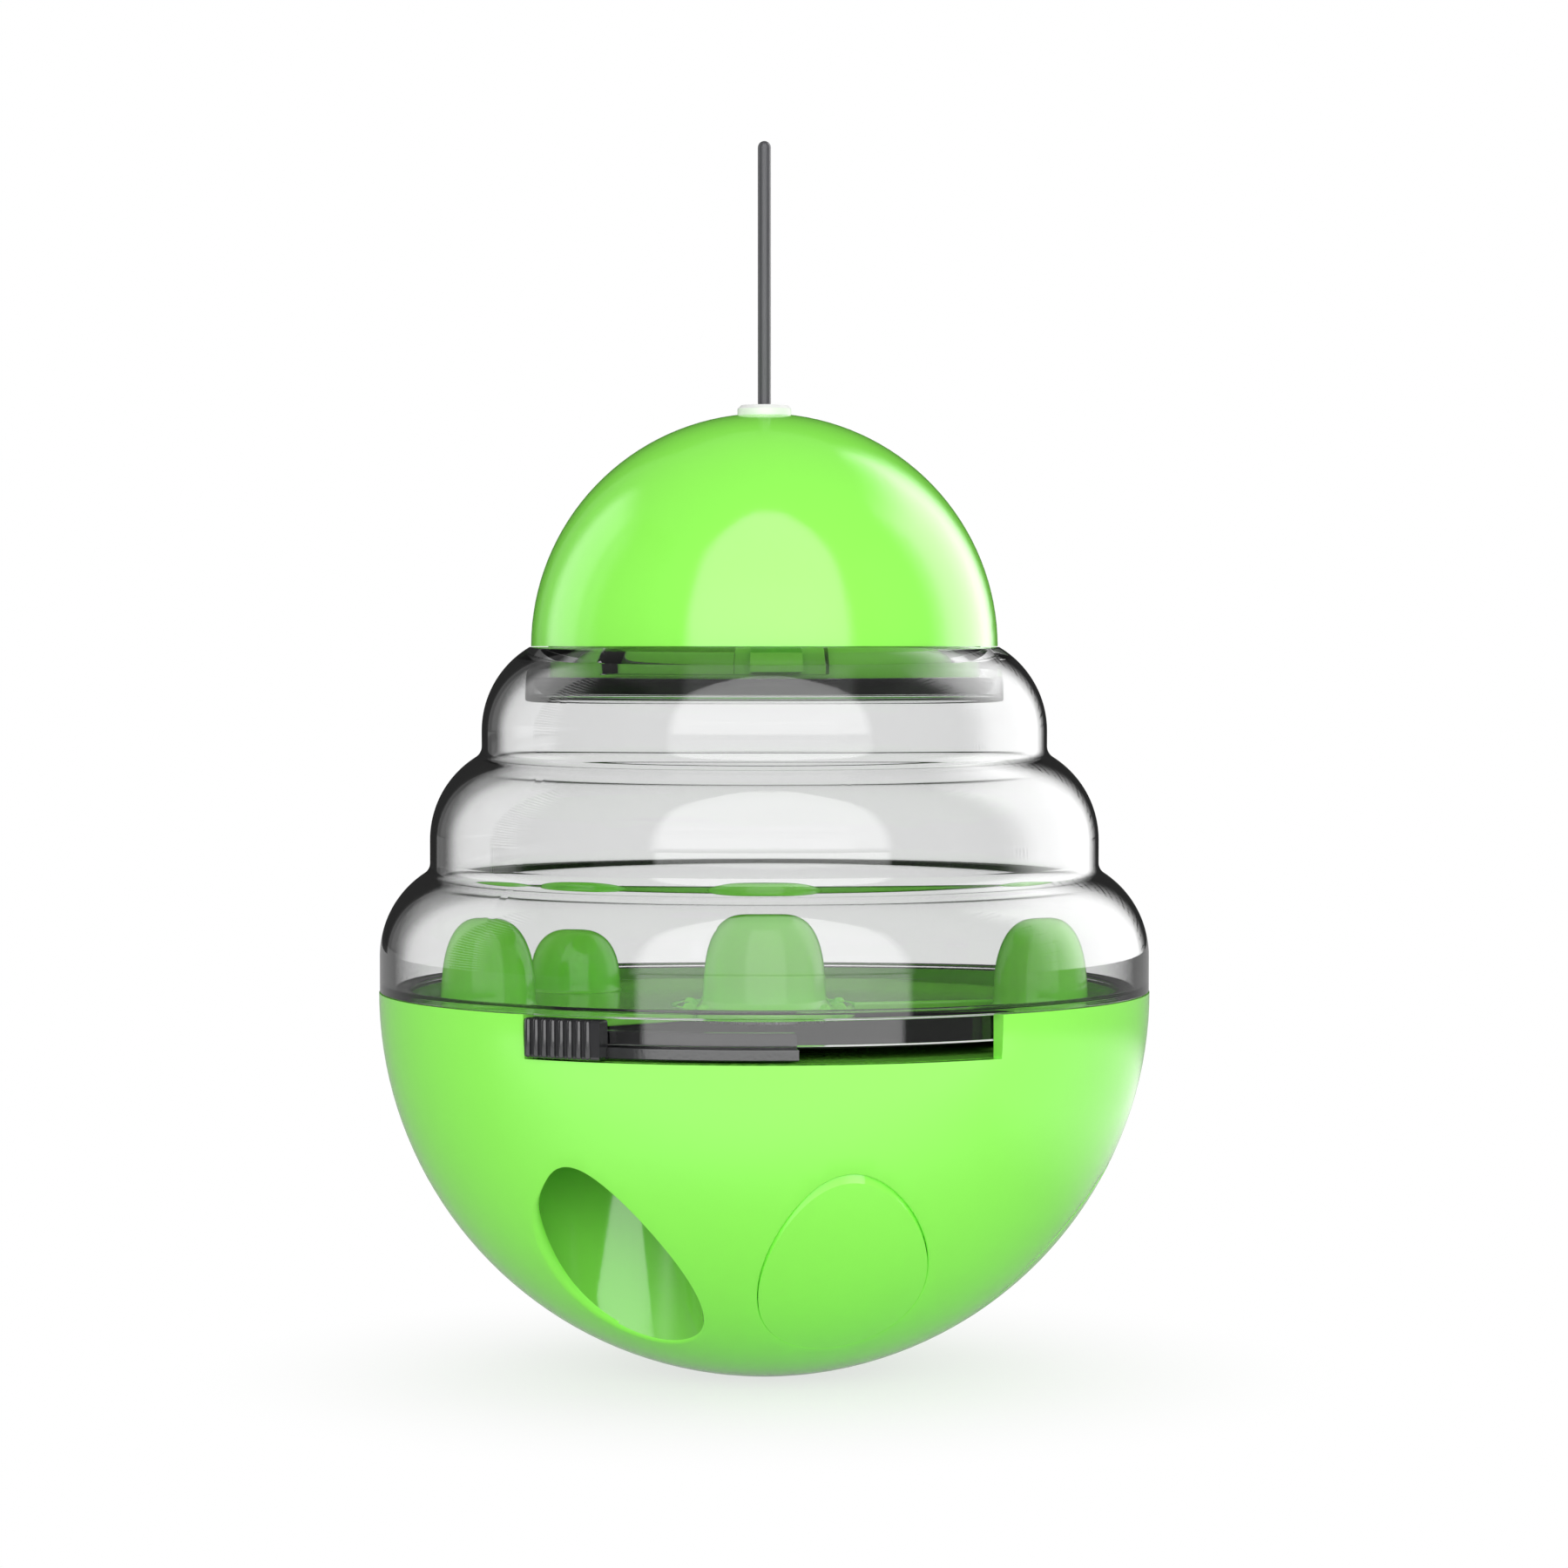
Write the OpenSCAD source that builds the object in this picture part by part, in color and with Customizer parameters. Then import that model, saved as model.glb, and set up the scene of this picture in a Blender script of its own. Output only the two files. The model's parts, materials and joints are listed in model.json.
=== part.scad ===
// Rolling treat dispenser for cats: a weighted round bowl, a clear stepped hopper, a domed cap and a wand.
// Millimetres. Origin at the middle of the small flat under the bowl, +Z up, front of the toy towards -Y.
// Directions round the axis are given as azimuths: 0 at the front, positive towards +X.

/* [Bowl] */
// Outside radius of the round bowl
bowl_r = 51.5; // [50.5:0.1:53]
// Wall of the bowl
bowl_wall = 2.0; // [1.8:0.1:2.3]
// Radius of the small flat that the bowl stands on
foot_r = 5; // [3:0.5:7]

/* [Ports] */
// Radius of the round ports that the plugs close
port_r = 11; // [9.5:0.1:11.6]
// Distance of the plugged ports' line in from the bowl's outside
port_inset = 14.9; // [14:0.1:16]
// Depth of the ports below the rim
port_drop = 36; // [35:0.1:37]
// Lean of the ports and of the outlet off the vertical
port_lean = 6; // [2:0.5:8]
// Azimuth of the first plugged port
port_first = 16; // [14:1:20]
// Angle from one plugged port to the next
port_pitch = 69; // [66:1:72]
// Thickness of a port plug through the shell
plug_t = 3.2; // [2.4:0.1:4]
// Radius of the open outlet
outlet_r = 9.66; // [8.6:0.02:10]
// Distance of the outlet's line in from the bowl's outside
outlet_inset = 14.5; // [13.5:0.1:15.5]
// Azimuth of the outlet
outlet_az = -28.8; // [-32:0.1:-26]
// Wall of the duct that leads to the outlet
duct_wall = 1.6; // [1.2:0.1:2]

/* [Counterweight] */
// Gap between the counterweight and the port plugs
weight_gap = 3.6; // [3:0.1:6]
// Height of the counterweight's flat top above the ground
weight_top = 12; // [10:0.5:13]
// Distance of the counterweight's screws in from its edge
weight_screw_inset = 9; // [7:0.5:10]
// Length of the counterweight's screws
weight_screw_l = 8; // [6:0.5:9]

/* [Floor] */
// Width of the gate outside the drop hole
drop_edge = 0.8; // [0.6:0.1:1.6]
// Azimuth of the drop hole when the gate is open
drop_az = -32; // [-34:0.5:-30]
// Radius of the drop hole
drop_r = 8.2; // [7:0.1:8.4]
// Thickness of the floor plate
floor_t = 1.8; // [1.6:0.1:2.2]
// Length of the spigot below the floor
spigot_l = 7.6; // [5:0.1:9]
// Radius of the spindle that the gate turns on
spindle_r = 5; // [4:0.1:6]

/* [Gate] */
// Length of the slider's foot, let into the arm
foot_l = 2.65; // [2.2:0.05:3.2]
// Thickness of the gate disc and its arm
gate_t = 1.5; // [1.2:0.1:1.8]
// Height of the apron at the front of the gate above the disc
apron_h = 1.8; // [1:0.1:2.6]
// Wall of the apron
apron_t = 1.5; // [1.2:0.1:1.8]
// Azimuth of the slider's left end when the gate is open
slider_from = -35.3; // [-36:0.1:-34.5]
// Azimuth of the slider's right end when the gate is open
slider_to = -23.2; // [-24.5:0.1:-22]
// Azimuth of the arm's right end when the gate is open
arm_to = 5; // [0:0.5:7]
// Angle that the gate turns from open to shut
gate_turn = 57.5; // [56:0.5:58.5]
// How far the slider stands out of the bowl
slider_proud = 0.9; // [0.5:0.1:1.5]
// Distance from one rib of the slider to the next
rib_pitch = 1.25; // [1:0.05:1.5]

/* [Deck] */
// Thickness of the deck plate
deck_t = 1.6; // [1.2:0.1:2]
// Left azimuth of the deck's front opening
deck_gap_from = -49; // [-50:0.5:-48]
// Right azimuth of the deck's front opening
deck_gap_to = 104; // [100:0.5:106]
// Azimuth at which the band that carries the right post begins
band_from = 74; // [72:0.5:76]
// Distance of the round posts' sides from the hopper's skirt
post_inset = 3.9; // [3.6:0.1:6]
// Radius of a post at its base
post_r = 6.4; // [5.4:0.1:6.6]
// Wall of a post round its hollow
post_wall = 2.7; // [2.4:0.1:3.2]
// Radius of the flat on top of the posts
post_flat_r = 0.8; // [0.6:0.1:1.2]
// Height of the two side posts above the bowl's rim
side_post_h = 9.4; // [7:0.1:11]
// Height of the back post above the bowl's rim
back_post_h = 7.1; // [6:0.1:10]
// Azimuth of the back post
back_post_az = -134; // [-140:1:-128]
// Radius of the hub post at its base
hub_r = 8.3; // [7:0.1:9]
// Radius of the flat on top of the hub post
hub_flat_r = 2; // [1:0.1:3]
// Height of the hub post above the bowl's rim
hub_h = 11; // [9:0.1:13]
// Radius of the hub post's flange
hub_flange_r = 12.2; // [11:0.1:13]

/* [Hopper] */
// Wall of the clear hopper
hopper_wall = 2; // [1.6:0.1:2.2]
// How far the top step stands in from the middle step
step_1_in = 6.9; // [6.2:0.1:7.6]
// How far the middle step stands in from the bottom step
step_2_in = 6.7; // [6:0.1:7.4]
// Radius of the rounded shoulder of each step
shoulder_r = 13; // [12.6:0.1:14]
// Radius of the hollow between two steps
hollow_r = 1.7; // [1:0.1:2.4]
// Height of the bottom step's shoulder above the rim
step_3_h = 4.84; // [4:0.02:6]
// Rise from the bottom step to the middle step
rise_3_to_2 = 15.4; // [15:0.1:17]
// Rise from the middle step to the top step
rise_2_to_1 = 14.5; // [14.2:0.1:16]
// How far the hopper's skirt reaches down inside the bowl's rim
skirt_drop = 3.5; // [3:0.1:4]
// Wall of the hopper's skirt
skirt_wall = 1.8; // [1.5:0.1:1.9]

/* [Neck] */
// Wall of the neck round the cap's collar
neck_wall = 2.9; // [2.7:0.1:3.1]
// Height of the neck
neck_h = 7; // [6.8:0.1:8]
// Height of a bayonet lug
lug_h = 2; // [1.6:0.1:2.2]
// Half angle of a bayonet lug
lug_half = 6.2; // [5:0.1:7]
// Azimuth of the front lug
lug_az = 2.8; // [0:0.1:5]
// Number of bayonet lugs
lug_n = 3; // [2:1:4]
// Angle that the cap turns from loose to locked
lock_turn = 28; // [20:1:30]
// Thickness of the seal in the neck's groove
seal_h = 2; // [1.6:0.1:2.2]

/* [Cap] */
// How far the domed cap stands in from the top step
cap_inset = 6.6; // [6:0.1:7.2]
// Wall of the domed cap
cap_wall = 2; // [1.6:0.1:2.2]
// Radius of the flat on top of the cap
cap_flat_r = 4.4; // [4:0.1:6]
// Height of the cap's collar above the seam
collar_rise = 3.3; // [3:0.1:3.5]
// Wall of the collar
collar_wall = 2; // [1.6:0.1:2.4]
// Gap between the collar's wall and its screws' heads
ear_inset = 1.9; // [1.4:0.1:2.6]

/* [Wand] */
// Diameter of the wand
wand_d = 1.75; // [1.4:0.05:2.2]
// Height of the wand's tip above the cap's flat
wand_h = 36.6; // [25:0.1:60]
// Depth of the wand's end below the cap's flat
wand_deep = 14; // [10:0.5:18]
// Radius of the grommet's head
grommet_r = 3.6; // [3.2:0.1:4]
// Height of the grommet's head
grommet_h = 1.4; // [1:0.1:2]

/* [Fasteners] */
// Radius of the screws' shanks
screw_r = 1.45; // [1.25:0.05:1.6]
// Radius of the screws' heads
head_r = 2.5; // [2.2:0.1:2.7]
// Height of the screws' heads
head_h = 1.6; // [1.2:0.1:1.8]
// Length of the other screws' shanks
screw_l = 12; // [9:0.5:13]

/* [Fits] */
// Gap between pieces that pass each other
pass_gap = 0.3; // [0.2:0.05:0.35]
// Running gap round a shaft
run_gap = 0.05; // [0.02:0.01:0.1]
// Gap between pieces that lie on each other
seat_gap = 0.1; // [0.05:0.05:0.2]

/* [Hidden] */
$fn = 96;
eps = 0.01;
far = 200;

green = [0.49, 1.0, 0.13];
clear = [0.85, 0.88, 0.9, 0.35];
black = [0.07, 0.07, 0.08];
steel = [0.62, 0.63, 0.65];
white = [0.93, 0.93, 0.92];
grey = [0.25, 0.25, 0.27];

// Bowl: the rim lies in the plane through the ball's centre
rim_z = sqrt(bowl_r * bowl_r - foot_r * foot_r);
bowl_in_r = bowl_r - bowl_wall;
port_ring = bowl_r - port_inset;
outlet_ring = bowl_r - outlet_inset;
port_z = rim_z - port_drop;

// Screw heads in their holes
head_hole_r = head_r + pass_gap / 2;
pilot_r = screw_r + run_gap;
shank_hole_r = screw_r + 3 * run_gap;

// Heights round the gate, above the ground
disc_top = rim_z - skirt_drop - pass_gap;
disc_bot = disc_top - gate_t;
deck_bot = disc_top + pass_gap;
deck_top = deck_bot + deck_t;
floor_top = disc_bot - pass_gap;
floor_bot = floor_top - floor_t;
spigot_bot = floor_bot - spigot_l;

// Radii round the gate, from the bowl's wall inwards
skirt_r = bowl_in_r - pass_gap;
skirt_in_r = skirt_r - skirt_wall;
deck_r = skirt_in_r - pass_gap;
floor_r = bowl_in_r - pass_gap;
deck_rim_r = deck_r - 2 * pass_gap;
screw_ring = deck_rim_r - head_hole_r - pass_gap;
deck_rim_in_r = screw_ring - head_hole_r - pass_gap;
disc_back_r = deck_rim_in_r - pass_gap;
drop_ring = disc_back_r - drop_r - drop_edge;
post_ring = skirt_in_r - post_inset - post_r;
band_in_r = post_ring - post_r / 2;
arm_r = bowl_in_r - pass_gap - seat_gap;
slider_in_r = arm_r + seat_gap / 2;
slider_foot_r = slider_in_r - foot_l;
apron_r = slider_foot_r - 2 * pass_gap;
disc_front_r = apron_r - apron_t - 2 * pass_gap;
slider_r = bowl_r + slider_proud;
slider_grip_r = skirt_r + pass_gap;

// Azimuths round the gate
slot_margin = 0.6;
slot_from = slider_from - slot_margin;
slot_to = slider_to + gate_turn + 2 * slot_margin;
sweep_margin = 3.5;
slider_foot_from = slider_from + 2.4;
slider_foot_to = slider_to - 2.4;
front_half = -deck_gap_from - sweep_margin;
rim_from = front_half + gate_turn + sweep_margin;
rim_to = 360 + deck_gap_from - 2;

// Spigot and duct of the outlet
spigot_wall = 1.4;
spigot_r = drop_r + spigot_wall;
cup_r = spigot_r + seat_gap;
cup_deep = 5;
duct_top = floor_bot - seat_gap;

// The cuts for ports run from under the ground to just below the floor, along their own lines
port_low = -port_z - cup_deep;
port_high = floor_bot - port_z - cup_deep + seat_gap;

// Counterweight
weight_r = port_ring - port_r - weight_gap;
weight_ring = weight_r - weight_screw_inset;
weight_bot_r = bowl_in_r - seat_gap;
boss_r = screw_r + 1.85;
washer_r = 5;
washer_t = 0.8;
weight_screw_n = 3;

// Screws of the floor and deck lie between the plugged ports
floor_azs = [for (i = [1 : 3]) port_first + port_pitch * (i + 0.5)];
deck_head_z = deck_top - head_h - pass_gap;

// Hub
washer_gap = 0.05;
gate_washer_t = 0.35;
flange_bot = disc_top + gate_washer_t + washer_gap;
flange_t = 1.5;
hub_head_z = floor_bot + head_h + pass_gap;

// Hopper outline: each step is a rounded shoulder over a short wall, with a hollow between steps
step_3_r = bowl_r - seat_gap;
step_2_r = step_3_r - step_2_in;
step_1_r = step_2_r - step_1_in;
cap_r = step_1_r - cap_inset;
step_3_z = rim_z + step_3_h;
step_2_z = step_3_z + rise_3_to_2;
step_1_z = step_2_z + rise_2_to_1;
steps_r = [step_1_r, step_2_r, step_3_r];
steps_z = [step_1_z, step_2_z, step_3_z];
lip_r = cap_r + 2 * seat_gap;
lip_x = lip_r - step_1_r + shoulder_r;
neck_top = step_1_z + sqrt(shoulder_r * shoulder_r - lip_x * lip_x);
arc_steps = 12;
skirt_blend = 2;

// Neck, seal and collar
collar_ring = cap_r - cap_wall - pass_gap - collar_wall - head_r - ear_inset;
collar_r = cap_r - cap_wall - pass_gap;
neck_bore_r = collar_r + pass_gap - seat_gap;
neck_r = neck_bore_r + neck_wall;
neck_bot = neck_top - neck_h;
lug_r = collar_r + 1.5;
lug_groove_r = lug_r + pass_gap;
lug_top = neck_top - 1.55;
lug_bot = lug_top - lug_h;
groove_bot = neck_bot + 0.6;
groove_top = groove_bot + seal_h + 2 * run_gap;
seal_in_r = collar_r + seat_gap;
seal_r = neck_r - 1.1;
notch_half = lug_half + 3.6;
run_spare = 1.5;
collar_bot = groove_bot + seat_gap;
collar_top = neck_top + collar_rise;
ear_t = 2;
ear_r = 3.4;

// Cap
cap_z = neck_top;
cap_in_r = cap_r - cap_wall;
cap_flat_z = cap_z + sqrt(cap_r * cap_r - cap_flat_r * cap_flat_r);
cap_under_z = cap_z + cap_in_r;
cap_bot = cap_z + seat_gap;
socket_r = 3;
socket_floor = 2;
wand_r = wand_d / 2;
wand_bore_r = wand_r + run_gap;
wand_bot = cap_flat_z - wand_deep;
grommet_neck_r = 2.4;
grommet_neck_l = 2.2;

// Place what follows on a ring round the axis, at an azimuth
module at(ring, az, z = 0) rotate([0, 0, az]) translate([0, -ring, z]) children();

// A piece of a ring with a flat top and bottom, between two azimuths
module sector(r_in, r_out, az_a, az_b, z_a, z_b)
    rotate([0, 0, az_a - 90])
        rotate_extrude(angle = az_b - az_a)
            translate([r_in, z_a])
                square([r_out - r_in, z_b - z_a]);

module rod(r, z_a, z_b) translate([0, 0, z_a]) cylinder(r = r, h = z_b - z_a);

module ring(r_in, r_out, z_a, z_b) difference() {
    rod(r_out, z_a, z_b);
    rod(r_in, z_a - 1, z_b + 1);
}

// A ball centred on the rim plane of the bowl
module ball(r) translate([0, 0, rim_z]) sphere(r = r);

// The leaning line of a port, with the shape on it upright along Z
module port_line(port_ring_r, az) at(port_ring_r, az, port_z)
    rotate([0, 0, -az]) rotate([0, -port_lean, 0]) children();

// Cross-head screw that stands on its shank: head from z up, shank of length l from z down
module screw(z, l = screw_l) difference() {
    union() {
        rod(head_r, z, z + head_h * 0.55);
        translate([0, 0, z + head_h * 0.55])
            rotate_extrude()
                polygon([[0, 0], [head_r, 0], [head_r * 0.82, head_h * 0.3], [head_r * 0.45, head_h * 0.45],
                         [0, head_h * 0.45]]);
        rod(screw_r, z - l, z + eps);
    }
    for (turn = [0, 90])
        rotate([0, 0, turn])
            translate([-head_r * 0.5, -0.3, z + head_h * 0.4])
                cube([head_r, 0.6, head_h]);
}

// The same screw with its head down
module screw_up(z) translate([0, 0, z]) mirror([0, 0, 1]) screw(0);

// Round-topped post: its side is a quarter of an ellipse that ends in a small flat on top
function dome_profile(r, h, flat_r, steps = 16) = concat(
    [[0, 0]],
    [for (i = [0 : steps]) let (a = 90 * i / steps) [flat_r + (r - flat_r) * cos(a), h * sin(a)]],
    [[0, h]]);

module post(r, z_a, z_b, flat_r = post_flat_r)
    translate([0, 0, z_a]) rotate_extrude() polygon(dome_profile(r, z_b - z_a, flat_r));

module bowl_bosses() {
    for (i = [0 : weight_screw_n - 1])
        at(weight_ring, 360 * i / weight_screw_n) rod(boss_r, 1, weight_top);
    for (az = floor_azs)
        at(screw_ring, az) rod(boss_r, floor_bot - screw_l - head_h, floor_bot);
    port_line(outlet_ring, outlet_az) rod(outlet_r + duct_wall, port_low, duct_top - port_z - cup_deep);
    at(drop_ring, drop_az) rod(cup_r + duct_wall, spigot_bot - cup_deep - duct_wall, duct_top);
}

module bowl() color(green) difference() {
    union() {
        difference() {
            ball(bowl_r);
            ball(bowl_in_r);
            rod(bowl_in_r, floor_bot, rim_z + 1);
        }
        intersection() {
            bowl_bosses();
            ball(bowl_r - bowl_wall / 4);
        }
    }
    rod(far, rim_z, rim_z + far);
    rod(far, -far, 0);
    sector(bowl_in_r - 1, bowl_r + 2, slot_from, slot_to, floor_top, rim_z + 1);
    at(drop_ring, drop_az) rod(cup_r, spigot_bot - cup_deep, floor_bot + 1);
    port_line(outlet_ring, outlet_az) rod(outlet_r, port_low, spigot_bot - port_z - 1);
    for (i = [0 : 3])
        port_line(port_ring, port_first + port_pitch * i) rod(port_r, port_low, port_high);
    for (i = [0 : weight_screw_n - 1])
        at(weight_ring, 360 * i / weight_screw_n) rod(pilot_r, weight_top + washer_t - weight_screw_l - run_gap, weight_top + 1);
    for (az = floor_azs)
        at(screw_ring, az) rod(pilot_r, deck_head_z - screw_l - 1, floor_bot + 1);
}

module port_plug(i) color(green) intersection() {
    difference() {
        ball(bowl_r);
        ball(bowl_r - plug_t);
    }
    port_line(port_ring, port_first + port_pitch * i) rod(port_r - run_gap, port_low, port_high);
}

module port_plug_1() port_plug(0);
module port_plug_2() port_plug(1);
module port_plug_3() port_plug(2);
module port_plug_4() port_plug(3);

module counterweight() color(steel) difference() {
    intersection() {
        ball(weight_bot_r);
        rod(weight_r, 0, weight_top);
    }
    for (i = [0 : weight_screw_n - 1])
        at(weight_ring, 360 * i / weight_screw_n) rod(boss_r + seat_gap, -1, weight_top + 1);
}

module weight_washers() color(steel)
    for (i = [0 : weight_screw_n - 1])
        at(weight_ring, 360 * i / weight_screw_n)
            ring(shank_hole_r, washer_r, weight_top, weight_top + washer_t);

module weight_screws() color(steel)
    for (i = [0 : weight_screw_n - 1])
        at(weight_ring, 360 * i / weight_screw_n) screw(weight_top + washer_t, weight_screw_l);

module floor_plate() color(green) difference() {
    union() {
        rod(floor_r, floor_bot, floor_top);
        rod(spindle_r, floor_bot, flange_bot);
        at(drop_ring, drop_az) rod(spigot_r, spigot_bot, floor_bot + eps);
    }
    at(drop_ring, drop_az) rod(drop_r, spigot_bot - 1, floor_top + 1);
    for (az = floor_azs)
        at(screw_ring, az) rod(shank_hole_r, floor_bot - 1, floor_top + 1);
    rod(head_hole_r, floor_bot - 1, hub_head_z);
    rod(shank_hole_r, floor_bot, flange_bot + 1);
}

module floor_screws() color(steel)
    for (az = floor_azs)
        at(screw_ring, az) screw(deck_head_z);

module gate_disc() color(black) difference() {
    union() {
        rod(disc_back_r, disc_bot, disc_top);
        sector(disc_back_r - 1, disc_front_r, -front_half, front_half, disc_bot, disc_top);
        sector(disc_front_r - 1, arm_r, slider_from, arm_to, disc_bot, disc_top);
        sector(apron_r - apron_t, apron_r, slider_from, arm_to, disc_bot, disc_top + apron_h);
    }
    rod(spindle_r + run_gap, disc_bot - 1, disc_top + 1);
    at(drop_ring, drop_az) rod(drop_r, disc_bot - 1, disc_top + 1);
    sector(slider_foot_r - seat_gap / 2, arm_r + 1, slider_foot_from, slider_foot_to, disc_bot - 1, disc_top + 1);
}

module gate_slider() color(black) {
    difference() {
        union() {
            sector(slider_grip_r, slider_r, slider_from, slider_to, disc_bot, rim_z - pass_gap);
            sector(slider_in_r, slider_grip_r + seat_gap, slider_from, slider_to, disc_bot, disc_top);
        }
        for (k = [0 : 7])
            at(slider_r + 0.25, slider_to - 2.6 - k * rib_pitch / slider_r * 180 / PI)
                rod(0.42, disc_bot - 1, rim_z + 1);
    }
    sector(slider_foot_r, slider_in_r + 0.2, slider_foot_from + 0.1, slider_foot_to - 0.1, disc_bot, disc_top);
}

module gate_washer() color(steel)
    ring(spindle_r + 2 * run_gap, hub_flange_r - 1.2, disc_top + washer_gap / 2,
         disc_top + washer_gap / 2 + gate_washer_t);

module deck_post(az, h) at(post_ring, az) post(post_r, deck_top - deck_t / 2, rim_z + h);

// The hollow under a post, open below
module deck_post_hollow(az, h) at(post_ring, az) post(post_r - post_wall, deck_bot - 1, rim_z + h - deck_t);

module deck() color(green) difference() {
    union() {
        sector(hub_flange_r + pass_gap, deck_r, deck_gap_to, 360 + deck_gap_from, deck_bot, deck_top);
        sector(band_in_r, deck_r - pass_gap, band_from, deck_gap_to + 2, deck_bot, deck_top);
        sector(deck_rim_in_r, deck_rim_r, rim_from, rim_to, floor_top, deck_bot + deck_t / 2);
        deck_post(-90, side_post_h);
        deck_post(90, side_post_h);
        deck_post(back_post_az, back_post_h);
    }
    deck_post_hollow(-90, side_post_h);
    deck_post_hollow(90, side_post_h);
    deck_post_hollow(back_post_az, back_post_h);
    for (az = floor_azs)
        at(screw_ring, az) {
            rod(shank_hole_r, floor_top - 1, deck_top + 1);
            rod(head_hole_r, deck_head_z, deck_top + 1);
        }
}

module hub_post() color(green) difference() {
    union() {
        post(hub_r, flange_bot, rim_z + hub_h, hub_flat_r);
        translate([0, 0, flange_bot])
            rotate_extrude()
                polygon([[0, 0], [hub_flange_r, 0], [hub_flange_r, flange_t * 0.5],
                         [hub_flange_r - flange_t, flange_t], [hub_r + flange_t * 0.4, flange_t],
                         [hub_r - 0.3, flange_t * 2], [0, flange_t * 2]]);
    }
    rod(pilot_r, flange_bot - 1, hub_head_z + screw_l + 1);
    for (az = [55, 125, 235, 305])
        at(hub_flange_r, az, flange_bot - 1) translate([-1.4, -1, 0]) cube([2.8, 2.6, flange_t + 2]);
}

module hub_screw() color(steel) screw_up(hub_head_z);

// Points along a shoulder or a hollow, from one angle to another
function arc(x, z, r, a0, a1, last = arc_steps) = [for (i = [0 : last])
    let (a = a0 + (a1 - a0) * i / arc_steps) [x + r * cos(a), z + r * sin(a)]];

// Height of the hollow's centre above the shoulder's centre below it, for a step between two radii
function hollow_x(r_up, r_down) = r_up + hollow_r - r_down + shoulder_r;
function hollow_h(r_up, r_down) =
    sqrt(pow(shoulder_r + hollow_r, 2) - pow(hollow_x(r_up, r_down), 2));

// Side of the hopper from a radius x_top down, set in from the outside by d
function hopper_side(d, x_top) = concat(
    arc(steps_r[0] - shoulder_r, steps_z[0], shoulder_r - d,
        acos((x_top - steps_r[0] + shoulder_r) / (shoulder_r - d)), 0),
    [for (k = [0 : 1])
        let (r_up = steps_r[k], r_down = steps_r[k + 1], z = steps_z[k + 1],
             hx = hollow_x(r_up, r_down), hh = hollow_h(r_up, r_down), a = atan2(hh, hx))
        each concat(
            arc(r_up + hollow_r, z + hh, hollow_r + d, 180, 180 + a, arc_steps - 1),
            arc(r_down - shoulder_r, z, shoulder_r - d, a, 0))]);

function reversed(list) = [for (i = [len(list) - 1 : -1 : 0]) list[i]];

module hopper_outline() polygon(concat(
    [[neck_bore_r, neck_top]],
    hopper_side(0, lip_r),
    [[step_3_r, rim_z], [skirt_r, rim_z], [skirt_r, rim_z - skirt_drop], [skirt_in_r, rim_z - skirt_drop],
     [skirt_in_r, rim_z + skirt_blend / 2], [step_3_r - hopper_wall, rim_z + skirt_blend * 1.5]],
    reversed(hopper_side(hopper_wall, neck_r)),
    [[neck_r, neck_bot], [neck_bore_r, neck_bot]]));

module hopper() color(clear) difference() {
    rotate_extrude() hopper_outline();
    for (i = [0 : lug_n - 1]) {
        az = lug_az + 360 * i / lug_n;
        sector(neck_bore_r - 1, lug_groove_r, az - lug_half - lock_turn - run_spare, az + notch_half - run_spare,
               lug_bot - pass_gap, lug_top + pass_gap);
        sector(neck_bore_r - 1.5, lug_groove_r + seat_gap, az - notch_half, az + notch_half, lug_top - pass_gap,
               neck_top + 1);
    }
    ring(neck_bore_r - 1, seal_r + run_gap, groove_bot, groove_top);
}

module neck_seal() color(black)
    ring(seal_in_r, seal_r, groove_bot + run_gap, groove_bot + run_gap + seal_h);

module cap_bosses() for (i = [0 : 2])
    at(collar_ring, 60 + 120 * i) rod(boss_r, collar_top, cap_z + cap_in_r);

module cap() color(green) difference() {
    union() {
        difference() {
            translate([0, 0, cap_z]) sphere(r = cap_r);
            translate([0, 0, cap_z]) sphere(r = cap_in_r);
        }
        intersection() {
            union() {
                cap_bosses();
                rod(socket_r, wand_bot - socket_floor, cap_flat_z);
            }
            translate([0, 0, cap_z]) sphere(r = cap_in_r + cap_wall / 2);
        }
    }
    rod(far, cap_bot - far, cap_bot);
    rod(far, cap_flat_z, cap_flat_z + far);
    rod(wand_bore_r, wand_bot - run_gap, cap_flat_z + 1);
    rod(grommet_neck_r + run_gap, cap_flat_z - grommet_neck_l - run_gap, cap_flat_z + 1);
    for (i = [0 : 2])
        at(collar_ring, 60 + 120 * i) rod(pilot_r, collar_top - 1, collar_top - ear_t + screw_l + 1);
}

module cap_collar() color(green) difference() {
    union() {
        ring(collar_r - collar_wall, collar_r, collar_bot, collar_top);
        for (i = [0 : lug_n - 1])
            sector(collar_r - 0.5, lug_r, lug_az + 360 * i / lug_n - lug_half,
                   lug_az + 360 * i / lug_n + lug_half, lug_bot, lug_top);
        intersection() {
            for (i = [0 : 2])
                at(collar_ring, 60 + 120 * i) {
                    rod(ear_r, collar_top - ear_t, collar_top);
                    translate([-ear_r, ear_r / 2 - collar_r + collar_ring - ear_r, collar_top - ear_t])
                        cube([2 * ear_r, collar_r - collar_ring + ear_r / 2, ear_t]);
                }
            rod(collar_r - collar_wall / 2, collar_bot, collar_top);
        }
    }
    for (i = [0 : 2])
        at(collar_ring, 60 + 120 * i) rod(shank_hole_r, collar_bot, collar_top + 1);
}

module collar_screws() color(steel)
    for (i = [0 : 2])
        at(collar_ring, 60 + 120 * i) screw_up(collar_top - ear_t);

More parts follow.
